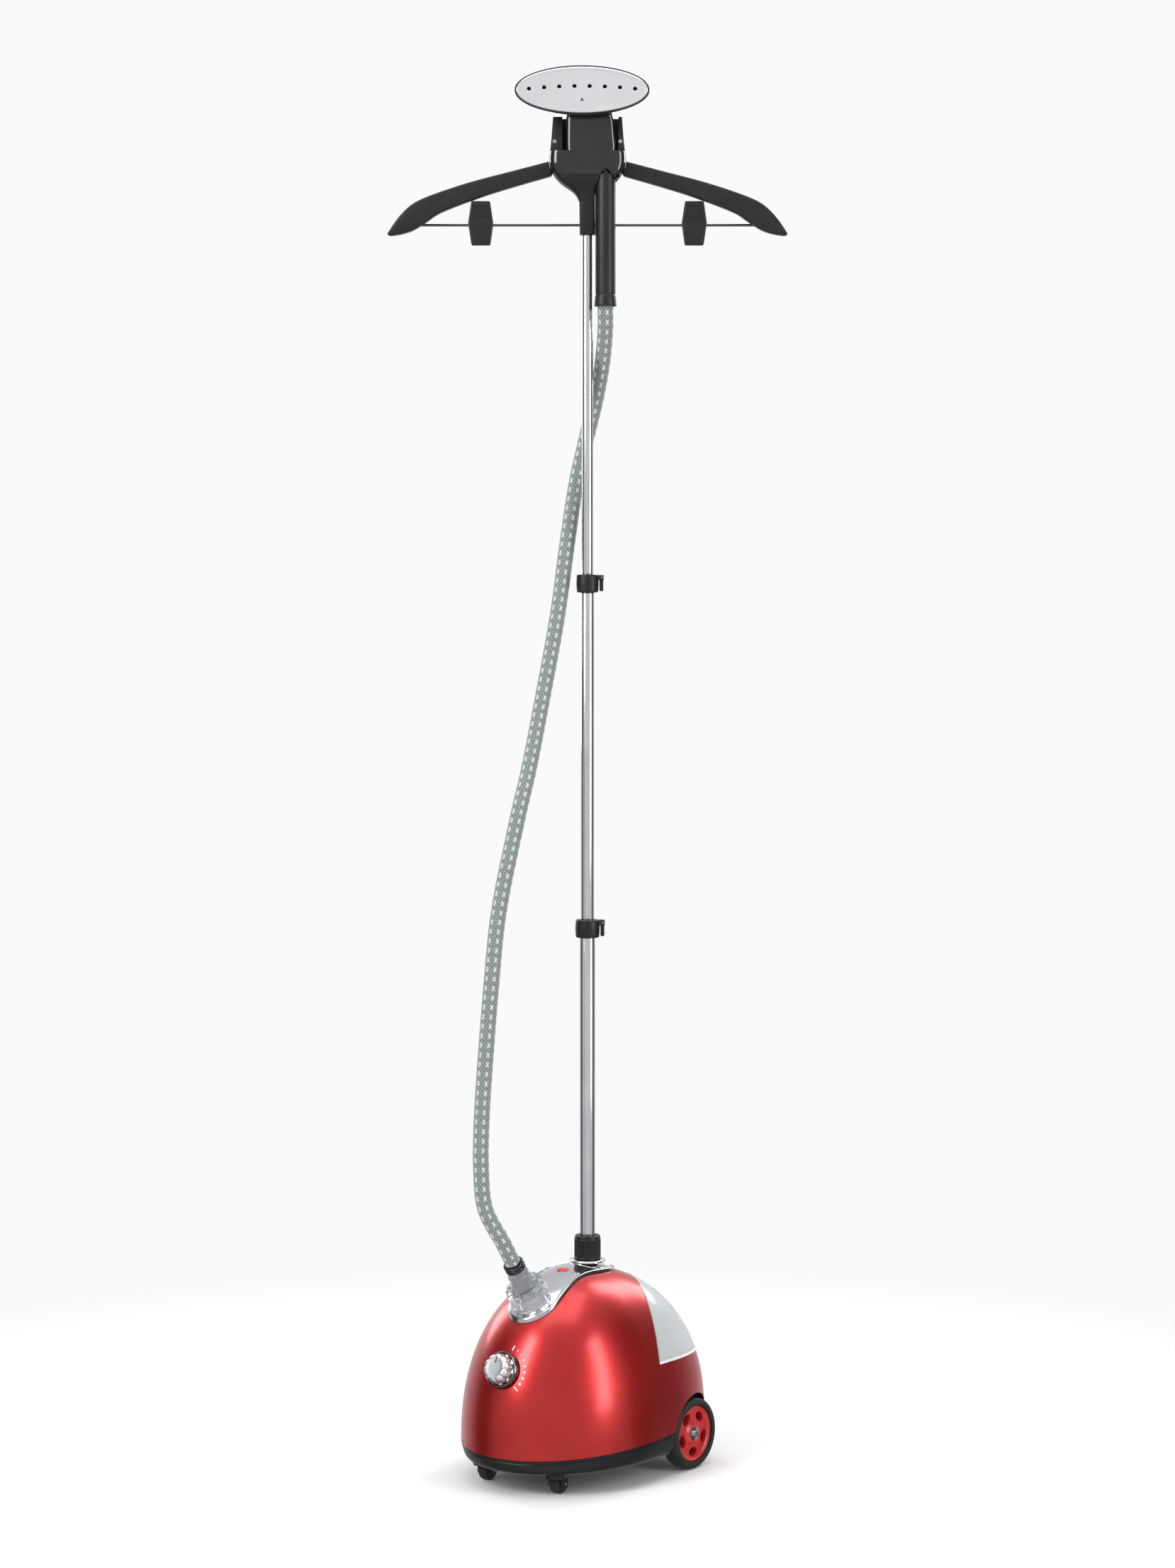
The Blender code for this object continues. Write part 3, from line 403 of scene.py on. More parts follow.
def colour_ramp(tree, source, stops):
    """Colours at given positions, and a smooth change between them."""
    node = add_node(tree, "ValToRGB", {"Fac": source})
    elements = node.color_ramp.elements
    while len(elements) < len(stops):
        elements.new(0.5)
    for element, (position, colour) in zip(elements, stops):
        element.position = position
        element.color = (*colour, 1)
    return node.outputs["Color"]


class Nodes:
    """A material's node tree, with short calls for the nodes used here."""

    def __init__(self, name):
        self.material = bpy.data.materials.new(name)
        self.material.use_nodes = True
        self.tree = self.material.node_tree
        self.shader = self.tree.nodes["Principled BSDF"]
        self.where = add_node(self.tree, "TexCoord").outputs["Object"]

    def noise(self, scale, detail=3, rough=0.5, stretch=None):
        source = self.where
        if stretch:
            source = add_node(self.tree, "Mapping", {"Scale": stretch, "Vector": source}).outputs["Vector"]
        inputs = {"Scale": scale, "Detail": detail, "Roughness": rough, "Vector": source}
        return add_node(self.tree, "TexNoise", inputs).outputs["Fac"]

    def ramp(self, source, stops):
        return colour_ramp(self.tree, source, stops)

    def span(self, source, low, high):
        return add_node(self.tree, "MapRange", {"To Min": low, "To Max": high, "Value": source}).outputs["Result"]

    def math(self, operation, first, second=0.0):
        return add_node(self.tree, "Math", {0: first, 1: second}, operation=operation).outputs["Value"]

    def bump(self, height, strength, distance):
        inputs = {"Strength": strength, "Distance": distance, "Height": height}
        self.set(Normal=add_node(self.tree, "Bump", inputs).outputs["Normal"])

    def set(self, **values):
        for name, value in values.items():
            feed(self.tree, value, self.shader.inputs[name.replace("_", " ")])


LOOKS = {}  # look: its material and the slot that it stands for


def surface(name, slot, tint, dark, light, gloss=None, bump=None, **settings):
    """A material of two close shades, with roughness that drifts and, where given, a fine grain.

    tint is a noise, gloss a noise with its lowest and highest roughness, and bump a noise with its strength and
    depth. A noise is its scale, detail and, where given, roughness and stretch."""
    n = Nodes(name)
    n.set(Base_Color=n.ramp(n.noise(*tint), [(0.3, dark), (0.7, light)]), **settings)
    if gloss:
        n.set(Roughness=n.span(n.noise(*gloss[0]), *gloss[1:]))
    if bump:
        n.bump(n.noise(*bump[0]), *bump[1:])
    LOOKS[name] = (n.material, slot)


def chrome(name, slot, low, high, tint):
    darker = tuple(value * 0.93 for value in tint)
    surface(name, slot, (25, 4), darker, tint, ((70, 5, 0.65), low, high), Metallic=1.0)


def clear_plastic(name, colour, roughness, transmission):
    paler = tuple(min(value * 1.06, 1) for value in colour)
    surface(name, "clear_plastic", (18, 3), colour, paler, ((90, 3), roughness, roughness + 0.06),
            Transmission_Weight=transmission, IOR=1.45, Coat_Weight=0.5, Coat_Roughness=0.05)


def make_surfaces():
    surface("red_plastic", "red_gloss", (60, 4), (0.42, 0.01, 0.012), (0.52, 0.018, 0.02),
            ((900, 2), 0.26, 0.4), ((1400, 2), 0.08, 0.00008), Coat_Weight=0.4, Coat_Roughness=0.12)
    surface("lens_red", "red_gloss", (220, 2), (0.55, 0.004, 0.006), (0.72, 0.012, 0.012),
            ((500, 2), 0.06, 0.12), Coat_Weight=1.0, Coat_Roughness=0.03, Transmission_Weight=0.15)
    surface("black_plastic", "black_plastic", (30, 5, 0.6), (0.006, 0.006, 0.0065), (0.012, 0.012, 0.013),
            ((160, 4), 0.34, 0.52), ((2200, 3, 0.6), 0.22, 0.00012), Specular_IOR_Level=0.42)
    surface("gloss_black", "black_plastic", (40, 4), (0.005, 0.005, 0.0055), (0.01, 0.01, 0.011),
            ((120, 3), 0.1, 0.2), Coat_Weight=0.6, Coat_Roughness=0.08)
    surface("tyre_rubber", "rubber", (50, 5), (0.008, 0.008, 0.008), (0.018, 0.018, 0.017),
            ((200, 4), 0.62, 0.82), ((1500, 4, 0.7), 0.35, 0.0002))
    surface("white_plastic", "white_plastic", (40, 3), (0.66, 0.67, 0.68), (0.76, 0.77, 0.78),
            ((150, 3), 0.28, 0.42), ((1600, 2), 0.06, 0.00006))
    surface("printed_white", "white_plastic", (500, 2), (0.7, 0.68, 0.68), (0.82, 0.8, 0.8), Roughness=0.45)
    surface("face_white", "chrome_plastic", (35, 4), (0.78, 0.79, 0.8), (0.84, 0.85, 0.86),
            ((45, 3), 0.2, 0.28), Metallic=0.75, Coat_Weight=0.3, Coat_Roughness=0.1)
    surface("pole_chrome", "chrome", (20, 3), (0.7, 0.71, 0.73), (0.8, 0.81, 0.82),
            ((900, 2, 0.5, (1, 1, 0.01)), 0.12, 0.18), Metallic=1.0)
    surface("steel", "steel", (60, 4), (0.45, 0.45, 0.46), (0.62, 0.62, 0.63), ((600, 3), 0.22, 0.4), Metallic=1.0)
    surface("cast_aluminium", "aluminium", (80, 5), (0.42, 0.43, 0.44), (0.6, 0.61, 0.62),
            ((300, 4), 0.4, 0.6), ((900, 4), 0.4, 0.0003), Metallic=1.0)
    chrome("chrome", "chrome_plastic", 0.05, 0.13, (0.78, 0.79, 0.81))
    chrome("satin_chrome", "chrome_plastic", 0.24, 0.34, (0.93, 0.94, 0.95))
    chrome("panel_chrome", "chrome_plastic", 0.07, 0.16, (0.66, 0.67, 0.69))
    chrome("dark_chrome", "dark_chrome", 0.1, 0.2, (0.16, 0.16, 0.17))
    clear_plastic("clear", (0.86, 0.88, 0.9), 0.06, 0.92)
    clear_plastic("smoke", (0.82, 0.84, 0.85), 0.22, 0.55)
    clear_plastic("cone", (0.5, 0.52, 0.54), 0.14, 0.7)
    clear_plastic("water", (0.82, 0.84, 0.85), 0.3, 0.55)


def make_red_lacquer():
    """Metallic red under clear coat, with fine flake and a slight drift in depth."""
    n = Nodes("red_lacquer")
    drift = n.noise(9, 3)
    flake = n.noise(2600, 1)
    mixed = n.math("ADD", n.math("MULTIPLY", drift, 0.7), n.math("MULTIPLY", flake, 0.3))
    stops = [(0.35, (0.4, 0.007, 0.009)), (0.5, (0.48, 0.011, 0.012)), (0.66, (0.56, 0.02, 0.018))]
    n.set(Base_Color=n.ramp(mixed, stops), Roughness=n.span(flake, 0.26, 0.38), Metallic=0.8, Coat_Weight=0.7,
          Coat_Roughness=0.2)
    n.bump(flake, 0.05, 0.00005)
    LOOKS["red_lacquer"] = (n.material, "red_gloss")


def make_hose_braid():
    """Woven grey-green cover: crossed strands, with six pale chains of loops along the hose.

    U runs once round the hose and V along it, one turn of a strand at a time."""
    n = Nodes("hose_braid")

    def times(first, second):
        return n.math("MULTIPLY", first, second)

    uv = add_node(n.tree, "UVMap", uv_map="weave").outputs["UV"]
    split = add_node(n.tree, "SeparateXYZ", {"Vector": uv})
    round_it, along = split.outputs["X"], split.outputs["Y"]
    turn, strands, chains = 2 * pi, 14, 6
    across = times(round_it, strands * turn)
    running = times(along, turn)
    first = n.math("SINE", n.math("ADD", across, running))
    second = n.math("SINE", n.math("SUBTRACT", across, running))
    weave = n.math("MAXIMUM", first, second)
    chain = n.math("COSINE", times(round_it, chains * turn))
    loops = n.math("SINE", times(along, turn * 0.5))
    mark = times(n.math("GREATER_THAN", chain, 0.45), n.math("GREATER_THAN", loops, -0.1))
    speck = n.noise(900, 3)
    shade = n.math("ADD", times(weave, 0.18), times(speck, 0.55))
    total = n.math("ADD", shade, times(mark, 0.42))
    stops = [(0.1, (0.1, 0.12, 0.11)), (0.42, (0.235, 0.27, 0.25)), (0.75, (0.48, 0.52, 0.49)),
             (0.95, (0.7, 0.73, 0.71))]
    n.set(Base_Color=n.ramp(total, stops), Roughness=0.82, Sheen_Weight=0.35, Sheen_Roughness=0.5)
    n.bump(n.math("ADD", times(weave, 0.7), times(mark, 0.5)), 0.5, 0.0005)
    LOOKS["hose_braid"] = (n.material, "hose_fabric")


def floor_paint():
    """Pale paint that turns clear towards the floor's rim."""
    n = Nodes("floor_paint")
    far = add_node(n.tree, "VectorMath", {0: n.where}, operation="LENGTH").outputs["Value"]
    fade = {"From Min": 0.35 * FLOOR_RADIUS, "From Max": 0.96 * FLOOR_RADIUS, "To Min": 1.0, "To Max": 0.0,
            "Value": far}
    alpha = add_node(n.tree, "MapRange", fade, interpolation_type="SMOOTHSTEP").outputs["Result"]
    n.set(Base_Color=n.ramp(n.noise(1.5, 3), [(0.3, (0.8, 0.8, 0.8)), (0.7, (0.83, 0.83, 0.83))]), Alpha=alpha,
          Roughness=0.7)
    return n.material


def dress(obj, look, body, *nodes):
    """Gives a new piece its material and its body, and hides the CAD nodes that it stands for."""
    material, slot = LOOKS[look]
    obj.data.materials.clear()
    obj.data.materials.append(material)
    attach(obj, body)
    if nodes:
        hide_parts(*nodes)


def dress_cad(look, *nodes):
    """Gives CAD nodes that stay in view their material."""
    for node in nodes:
        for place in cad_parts[node].material_slots:
            place.material = LOOKS[look][0]


# ---- body
def arch(name, radius, side, inner, outer):
    return rod(name, radius, *sorted((side * inner, side * outer)), AXLE, 96)


def make_tray():
    """The black tray under the body, with a groove below its rim, wheel wells and bosses for the casters."""
    def level(height, inset):
        return plan_ring(lambda y: height, 1, inset)

    under = [(TRAY_FLOOR, 0.012), (0.0247, 0.0098), (0.0262, 0.007), (0.0283, 0.005), (0.031, 0.0036),
             (0.0345, 0.0024), (0.038, 0.0016)]
    rim = mm([(4.6, 1.2), (4, 2), (3.4, 2), (2.8, 1.1), (1, 1), (0.6, 1.4), (0.6, 4), (4.6, 4.6)])
    rings = [level(height, inset) for height, inset in under]
    rings += [plan_ring(lambda y: edge_height(y) - drop, 1, inset) for drop, inset in rim]
    rings += [level(0.036, 0.0055), level(0.0275, 0.015)]
    tray = loft("v_tray", rings, BASE)
    for side in (-1, 1):
        cut(tray, arch(f"tray_arch_{side}", ARCH_RADIUS + 0.0006, side, 0.0843, 0.13))
        well = arch(f"well_{side}", ARCH_RADIUS + 0.0016, side, 0.083, 0.12)
        cut(well, arch(f"well_hollow_{side}", ARCH_RADIUS - 0.0006, side, 0.0855, 0.14))
        trim(well, dome(f"well_trim_{side}", 0.003, 0.05))
        trim(well, box(f"well_floor_{side}", (-0.2, -0.2, 0.0258), (0.2, 0.2, 0.2), BASE))
        join(tray, well)
        caster = BASE @ at(side * CASTER_X, CASTER_Y, 0)
        join(tray, rod(f"boss_{side}", 0.009, 0.0262, 0.04, caster))
        cut(tray, rod(f"stem_hole_{side}", 0.0042, 0.01, 0.038, caster))
    cut(tray, rod("axle_hole", 0.0039, -0.12, 0.12, AXLE))
    cut(tray, rod("drain_hole", 0.0078, 0.01, 0.04, BASE @ at(0, DRAIN_Y, 0)))
    dress(smooth(tray, 30), "black_plastic", "root", "base_tray")


def make_shell():
    shell = dome("v_shell")
    cut(shell, dome("shell_space", WALL, 0.01))
    cut(shell, tank_block("tank_opening", 0.0004, TANK_FLOOR - 0.0006))
    for side in (-1, 1):
        cut(shell, arch(f"arch_{side}", ARCH_RADIUS, side, 0.08, 0.13))
    inlet = BASE @ at(0.04, 0, 0.075) @ Matrix.Rotation(-pi / 2, 4, "X")
    cut(shell, rod("port_hole", 0.0166, -0.03, 0.03, PORT), rod("socket_hole", 0.0126, 0.2, 0.26, BASE),
        rod("knob_hole", 0.006, -0.02, 0.02, KNOB), rod("lens_hole", 0.007, -0.02, 0.02, LENS),
        rod("inlet_hole", 0.0085, 0.07, 0.16, inlet))
    bevel(shell, 0.0006, 2, 40)
    dress(smooth(shell), "red_lacquer", "root", "body_shell")


def make_panel():
    """The bright band over the crown, with a raised bead round its edge."""
    count = 220
    outline = []
    for angle in angles(count):
        y = (PANEL_FRONT_Y + PANEL_REAR_Y) / 2 + (PANEL_REAR_Y - PANEL_FRONT_Y) / 2 * sin(angle)
        side = 1 if cos(angle) >= 0 else -1
        outline.append((side * panel_width(y), y))
    shares = [(0.02, 0.0007), (0.5, 0.0007), (1.0, 0.0007), (1.0, 0.0024), (0.99, 0.0031), (0.975, 0.0035),
              (0.955, 0.0035), (0.94, 0.003), (0.925, 0.0024), (0.9, 0.0021)]
    shares += [(share, 0.0021) for share in (0.8, 0.7, 0.6, 0.5, 0.4, 0.3, 0.2, 0.1, 0.02)]
    bm = bmesh.new()
    rows = []
    for share, lift in shares:
        row = []
        for x, y in outline:
            spine = min(max(y, PANEL_FRONT), PANEL_REAR)
            there = spine + (y - spine) * share
            row.append(bm.verts.new((x * share, there, skin_height(x * share, there, lift))))
        rows.append(row)
    grid_faces(bm, rows)
    quarter = count // 4
    for row, turn in ((rows[0], 1), (rows[-1], -1)):
        for i in range(count // 2):
            corners = [row[(quarter + step) % count] for step in (i, i + 1, -i - 1, -i)]
            corners = list(dict.fromkeys(corners))
            if len(corners) > 2:
                bm.faces.new(corners[::turn])
    outward(bm)
    panel = mesh_object("v_panel", bm, BASE)
    cut(panel, rod("panel_port", 0.0168, -0.03, 0.03, PORT), rod("panel_socket", 0.0128, 0.2, 0.26, BASE),
        rod("panel_lens", 0.007, -0.02, 0.02, LENS))
    dress(smooth(panel, 40), "panel_chrome", "root", "top_panel")


def make_port():
    sleeve = rounded_profile([(0.0125, -0.026), (0.0125, 0.016), (0.016, 0.016), (0.016, -0.026)], 0.0006, 4)
    dress(lathe("v_sleeve", sleeve, PORT, 96), "white_plastic", "root", "outlet_sleeve")

    def ribs(angle, radius, height):
        if radius < 0.019 or not 0.005 < height < 0.018:
            return radius
        return radius - 0.0009 * (0.5 + 0.5 * cos(24 * angle)) ** 2

    profile = mm([(17.2, 2.6), (17.2, 20), (14.5, 20), (14.5, 23.5), (22.2, 23.5), (22.6, 19), (22.8, 17), (23, 6),
                  (23.2, 4.5), (23.2, 2.6)])
    nut = lathe("v_nut", rounded_profile(profile, 0.0005, 2), PORT, 192, ribs)
    for notch in range(8):
        turn = Matrix.Rotation(2 * pi * (notch + 0.5) / 8, 4, "Z")
        cut(nut, box(f"notch_{notch}", (0.0168, -0.0028, 0.0212), (0.03, 0.0028, 0.03), PORT @ turn))
    dress(smooth(nut, 30), "clear", "nut", "hose_nut")

    cone = mm([(7, 16.6), (16.6, 16.6), (16.6, 19.4), (13.5, 19.4), (13.2, 25.5), (14, 26.2), (14, 27.6), (13, 28.4),
               (11.8, 40), (12.4, 40.7), (12.4, 42), (11.6, 42.7), (11, 50), (7, 50)])
    connector = lathe("v_connector", rounded_profile(cone, 0.0005, 2), PORT, 96)
    dress(connector, "cone", "root", "hose_connector")
    ring = mm([(7, 50.3), (11.6, 50.3), (11.8, 51.2), (11.8, 53), (11.2, 53.5), (11.2, 54.5), (11.8, 55),
               (11.8, 57.5), (11, 58.6), (7, 58.6)])
    collar = lathe("v_hose_collar", rounded_profile(ring, 0.0003, 2), PORT, 96)
    dress(collar, "gloss_black", "root", "hose_collar")
    return [connector, collar]


def skin_point(place, x, y, lift):
    """The point of the body's skin along a tilted place's own Z, lifted off it, in the base's frame."""
    local = BASE.inverted() @ place
    low, high = -0.03, 0.03
    for _ in range(40):
        middle = (low + high) / 2
        point = local @ Vector((x, y, middle))
        inside = hypot(point.x, point.y - CENTRE_Y) < plan_radius(atan2(point.y - CENTRE_Y, point.x))
        if inside and point.z < skin_height(point.x, point.y):
            low = middle
        else:
            high = middle
    return local @ Vector((x, y, low + lift))


def skin_patch(name, place, outline, low, high):
    """A thin mark that lies on the body's skin: a convex outline of (x, y) points about its middle."""
    middle = (sum(x for x, _ in outline) / len(outline), sum(y for _, y in outline) / len(outline))
    rings = [(0.0, low), (1.0, low), (1.0, high * 0.6), (0.94, high), (0.0, high)]
    bm = bmesh.new()
    rows = []
    for share, lift in rings:
        rows.append([bm.verts.new(skin_point(place, middle[0] + (x - middle[0]) * share,
                                             middle[1] + (y - middle[1]) * share, lift)) for x, y in outline])
    grid_faces(bm, rows)
    weld(bm)
    return smooth(mesh_object(name, bm, BASE))


def make_knob():
    def flutes(angle, radius, height):
        if radius < 0.012 or height < 0.0052:
            return radius
        return radius - 0.0016 * (0.5 + 0.5 * cos(10 * angle)) ** 3

    profile = mm([(0, 16.6), (8, 16.7), (12.2, 17), (14, 16.4), (15.8, 14), (16.6, 10), (17.2, 5.5), (17.5, 4.8),
                  (17.5, 4), (10, 4), (0, 6)])
    knob = lathe("v_knob", rounded_profile(profile, 0.0008, 3), KNOB, 240, flutes)
    dress(knob, "satin_chrome", "knob", "control_knob")
    pointer = box("v_knob_pointer", (-0.0007, 0.0052, 0.016), (0.0007, 0.0118, 0.01705), KNOB)
    dress(bevel(pointer, 0.0002, 2), "gloss_black", "knob")
    bezel = mm([(18.5, 1.2), (18.5, 5.6), (19, 6.1), (20, 5.7), (20.8, 4), (21, 1.2)])
    dress(lathe("v_bezel", rounded_profile(bezel, 0.0004, 3), KNOB, 120), "dark_chrome", "root", "knob_bezel")

    # Dial scale: a bar at each end of the arc, and dots that grow between them
    start, span, count, reach = radians(78), radians(-118), 9, 0.0268
    for i in range(count):
        angle = start + span * i / (count - 1)
        x, y = reach * cos(angle), reach * sin(angle)
        if i in (0, count - 1):
            along = Vector((cos(angle), sin(angle)))
            across = Vector((-along.y, along.x))
            corners = [(1, 1), (-1, 1), (-1, -1), (1, -1)]
            outline = [tuple(Vector((x, y)) + along * a * 0.003 + across * b * 0.0008) for a, b in corners]
        else:
            radius = 0.0007 + 0.00011 * i
            outline = [(x + px, y + py) for px, py in oval(radius, radius, 20)]
        dress(skin_patch(f"v_dial_mark_{i}", KNOB, outline, -0.0004, 0.00015), "printed_white", "root")


def make_lens():
    """An oval lens with a low crown, whose foot is narrow enough for the hole in the panel."""
    shape = [(1.0, 0.0016), (0.97, 0.0022), (0.9, 0.0027), (0.75, 0.0031), (0.5, 0.0034), (0.2, 0.0035)]
    outline = oval(0.0088, 0.0063, 96)
    foot = [(x * 0.7, y * 0.95, -0.003) for x, y in outline]
    lens = loft("v_lens", [foot] + stacked(outline, shape), LENS)
    dress(smooth(lens), "lens_red", "root", "indicator_lens")


def make_tank():
    tank = tank_block("v_tank", -0.0004, TANK_FLOOR)
    trim(tank, dome("tank_skin", -0.0002, 0, 60))
    bevel(tank, 0.0014, 3, 40)
    hollow = tank_block("tank_hollow", -0.0004 - TANK_WALL, TANK_FLOOR + TANK_WALL)
    trim(hollow, dome("tank_lining", TANK_WALL))
    cut(tank, hollow)
    neck = BASE @ at(0, NECK_Y, 0)
    join(tank, rod("neck_wall", 0.015, 0.1165, 0.1315, neck))
    cut(tank, rod("neck_bore", 0.013, 0.1, 0.14, neck))
    dress(smooth(tank), "smoke", "tank", "water_tank")

    strip = tank_block("v_tank_strip", -0.0004, TANK_FLOOR, TANK_FLOOR + 0.0026)
    trim(strip, dome("strip_skin", -0.0008, 0, 60))
    cut(strip, dome("strip_inner", 0.0006, 0.01, 60))
    dress(smooth(strip), "white_plastic", "tank")

    water = tank_block("v_water", -0.0006 - TANK_WALL, TANK_FLOOR + TANK_WALL + 0.0002, WATER_LEVEL)
    trim(water, dome("water_skin", TANK_WALL + 0.0002))
    dress(smooth(water), "water", "tank")

    # Push latch on the back slope, in a black ring
    rise = skin_height(0, LATCH_Y + 0.004) - skin_height(0, LATCH_Y - 0.004)
    place = BASE @ tilted(0, LATCH_Y, skin_height(0, LATCH_Y), atan2(rise, 0.008))
    steps = [(0.97, 0.0026), (1.0, 0.003), (1.0, 0.0054), (0.985, 0.0065), (0.95, 0.0073), (0.9, 0.0076),
             (0.8, 0.0072), (0.55, 0.0067), (0.2, 0.0065)]
    latch = loft("v_latch", stacked(oval(0.019, 0.009, 96), steps), place)
    dress(smooth(latch, 40), "red_plastic", "latch", "tank_latch")
    steps = [(1.0, -0.0016), (1.0, 0.0012), (0.98, 0.0018), (0.94, 0.002)]
    seat = loft("v_latch_seat", stacked(oval(0.0206, 0.0106, 96), steps), place)
    cut(seat, prism("latch_room", oval(0.0193, 0.0093, 96), 0.0006, 0.01, place))
    dress(smooth(seat), "gloss_black", "tank")


# ---- wheels
def make_wheels():
    half = WHEEL_WIDTH / 2
    edge = half - 0.004

    def tread(angle, radius, height):
        if radius < WHEEL_RADIUS - 0.0004:
            return radius
        return radius - 0.0005 * max(0.0, cos(48 * angle)) ** 6

    # Profiles are radius and height along the axle
    tyre = mirrored([
        (0.0315, -edge), (0.0322, -half + 0.0006), (0.0335, -half), (0.036, -half), (0.038, -half + 0.0009),
        (0.0393, -half + 0.0023), (WHEEL_RADIUS, -edge), (WHEEL_RADIUS, -0.0022), (0.0392, -0.0016)])
    for side, word in SIDES:
        place, body = BASE @ sideways(side * WHEEL_X, WHEEL_Y, WHEEL_RADIUS), f"wheel_{word}"
        dress(lathe(f"v_tyre_{word}", tyre, place, 288, tread), "tyre_rubber", body, f"rear_tyre_{word}")
        face, back = 0.75 * half * side, -0.7 * half * side
        profile = [(0.0039, back), (0.007, back), (0.009, back + 0.003 * side), (0.029, back + 0.003 * side),
                   (0.03, back), (0.0312, back), (0.0312, face), (0.0296, face), (0.0288, face - 0.0012 * side),
                   (0.027, face - 0.0022 * side), (0.014, face - 0.0022 * side), (0.0112, face - 0.0004 * side),
                   (0.01, face), (0.0039, face)]
        hub = lathe(f"v_hub_{word}", rounded_profile(profile, 0.0005, 3), place, 144)
        for window in range(5):
            around = Matrix.Rotation(2 * pi * window / 5, 4, "Z")
            outline = [(0.0212 + x, y) for x, y in oval(0.0054, 0.0078, 48)]
            cut(hub, prism(f"window_{word}_{window}", outline, -0.02, 0.02, place @ around))
        bevel(hub, 0.0004, 2, 50)
        dress(smooth(hub), "red_plastic", body, f"rear_hub_{word}")
        low, high = back + 0.0032 * side, back + 0.0042 * side
        back_plate = [(0.01, low), (0.0285, low), (0.0285, high), (0.01, high)]
        dress(lathe(f"v_hub_back_{word}", back_plate, place, 96), "black_plastic", body)
        cap = [(0, face + 0.0006 * side), (0.006, face + 0.0005 * side), (0.0082, face + 0.0001 * side),
               (0.0088, face - 0.0006 * side), (0, face - 0.0006 * side)]
        dress(lathe(f"v_hub_cap_{word}", cap, place, 72), "chrome", body)

        low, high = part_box(f"caster_wheel_{word}")
        reach = (high.x - low.x) / 2
        profile = mirrored([
            (0.002, -reach), (0.006, -reach), (0.007, -reach + 0.0008), (0.0085, -reach + 0.0006),
            (0.01, -reach + 0.0008), (CASTER_RADIUS, -reach + 0.002)])
        roller = lathe(f"v_roller_{word}", profile, sideways(*((low + high) / 2)), 96)
        dress(roller, "tyre_rubber", f"roller_{word}", f"caster_wheel_{word}")


# ---- pole
def make_pole():
    ring = mm([(12.8, 234.4), (12.8, 236.6), (14, 237), (18.5, 236.9), (19.8, 236.4), (20.5, 235.4), (20.5, 234.4)])
    dress(lathe("v_socket_ring", ring, BASE, 144), "chrome", "root", "socket_ring")
    socket = tube("v_socket", LOWER_RADIUS + 0.0004, 0.0122, 0.18, 0.26)
    dress(socket, "black_plastic", "root", "pole_socket")

    def ribs(angle, radius, height):
        if radius < 0.0147 or not COLLAR_BASE + 0.003 < height < COLLAR_TOP - 0.005:
            return radius
        return radius - 0.0008 * (0.5 + 0.5 * cos(30 * angle)) ** 2

    low, top = COLLAR_BASE, COLLAR_TOP
    profile = [(0.0125, low), (0.0125, 0.2606), (LOWER_RADIUS + 0.0005, 0.2606), (LOWER_RADIUS + 0.0005, top),
               (0.0132, top), (0.0141, top - 0.0006), (0.0145, top - 0.002), (0.0145, top - 0.0038),
               (0.015, top - 0.0046), (0.015, top - 0.006), (0.015, low + 0.004), (0.015, low + 0.0022),
               (0.0147, low + 0.0016), (0.015, low + 0.001), (0.015, low)]
    dress(lathe("v_collar", rounded_profile(profile, 0.0003, 2), BASE, 240, ribs), "black_plastic", "collar",
          "pole_collar")

    for name, radius, low, high, body in (
        ("pole_lower", LOWER_RADIUS, 0.185, CLAMP_LOW_Z, "root"),
        ("pole_middle", MIDDLE_RADIUS, 0.56, CLAMP_HIGH_Z, "middle_stage"),
        ("pole_upper", UPPER_RADIUS, 0.95, POLE_TOP, "upper_stage"),
    ):
        dress(tube(f"v_{name}", radius - TUBE_WALL, radius, low, high), "pole_chrome", body, name)
    make_clamp("lower", CLAMP_LOW_Z, LOWER_RADIUS, MIDDLE_RADIUS, "root", "lever_low")
    make_clamp("upper", CLAMP_HIGH_Z, MIDDLE_RADIUS, UPPER_RADIUS, "middle_stage", "lever_high")


def make_clamp(name, height, outer, inner, body, lever_body):
    wall = outer + 0.0045
    profile = [(outer + 0.0004, -0.01), (outer + 0.0004, 0.0006), (inner + 0.0004, 0.0006), (inner + 0.0004, 0.01),
               (wall - 0.0006, 0.01), (wall, 0.0088), (wall + 0.0003, 0.004), (wall + 0.0005, 0),
               (wall + 0.0003, -0.004), (wall, -0.0088), (wall - 0.0006, -0.01)]
    turn = HANGER @ at(0, 0, height)
    collar = lathe(f"v_clamp_{name}", rounded_profile(profile, 0.0004, 3), turn, 96)
    for side in (-1, 1):
        low, high = sorted((side * 0.0048, side * 0.0068))
        ear = box(f"ear_{name}_{side}", (wall - 0.0015, low, 0.0035), (wall + 0.0062, high, 0.0095), turn)
        join(collar, bevel(ear, 0.0007, 3))
    dress(smooth(collar), "black_plastic", body, f"clamp_{name}")
    lever = box(f"v_clamp_lever_{name}", (wall + 0.0013, -0.0045, -0.0085), (wall + 0.0058, 0.0045, 0.008), turn)
    bevel(lever, 0.0012, 4)
    for groove in range(4):
        low = -0.007 + 0.0022 * groove
        groove_room = ((wall + 0.0054, -0.0034, low), (wall + 0.007, 0.0034, low + 0.0008))
        cut(lever, box(f"groove_{name}_{groove}", *groove_room, turn))
    dress(smooth(lever), "black_plastic", lever_body, f"clamp_lever_{name}")
    pin = rod(f"v_clamp_pin_{name}", 0.001, -0.007, 0.007, turn @ at(wall + 0.004, 0, 0.007) @ UPRIGHT, 32)
    dress(pin, "steel", body)


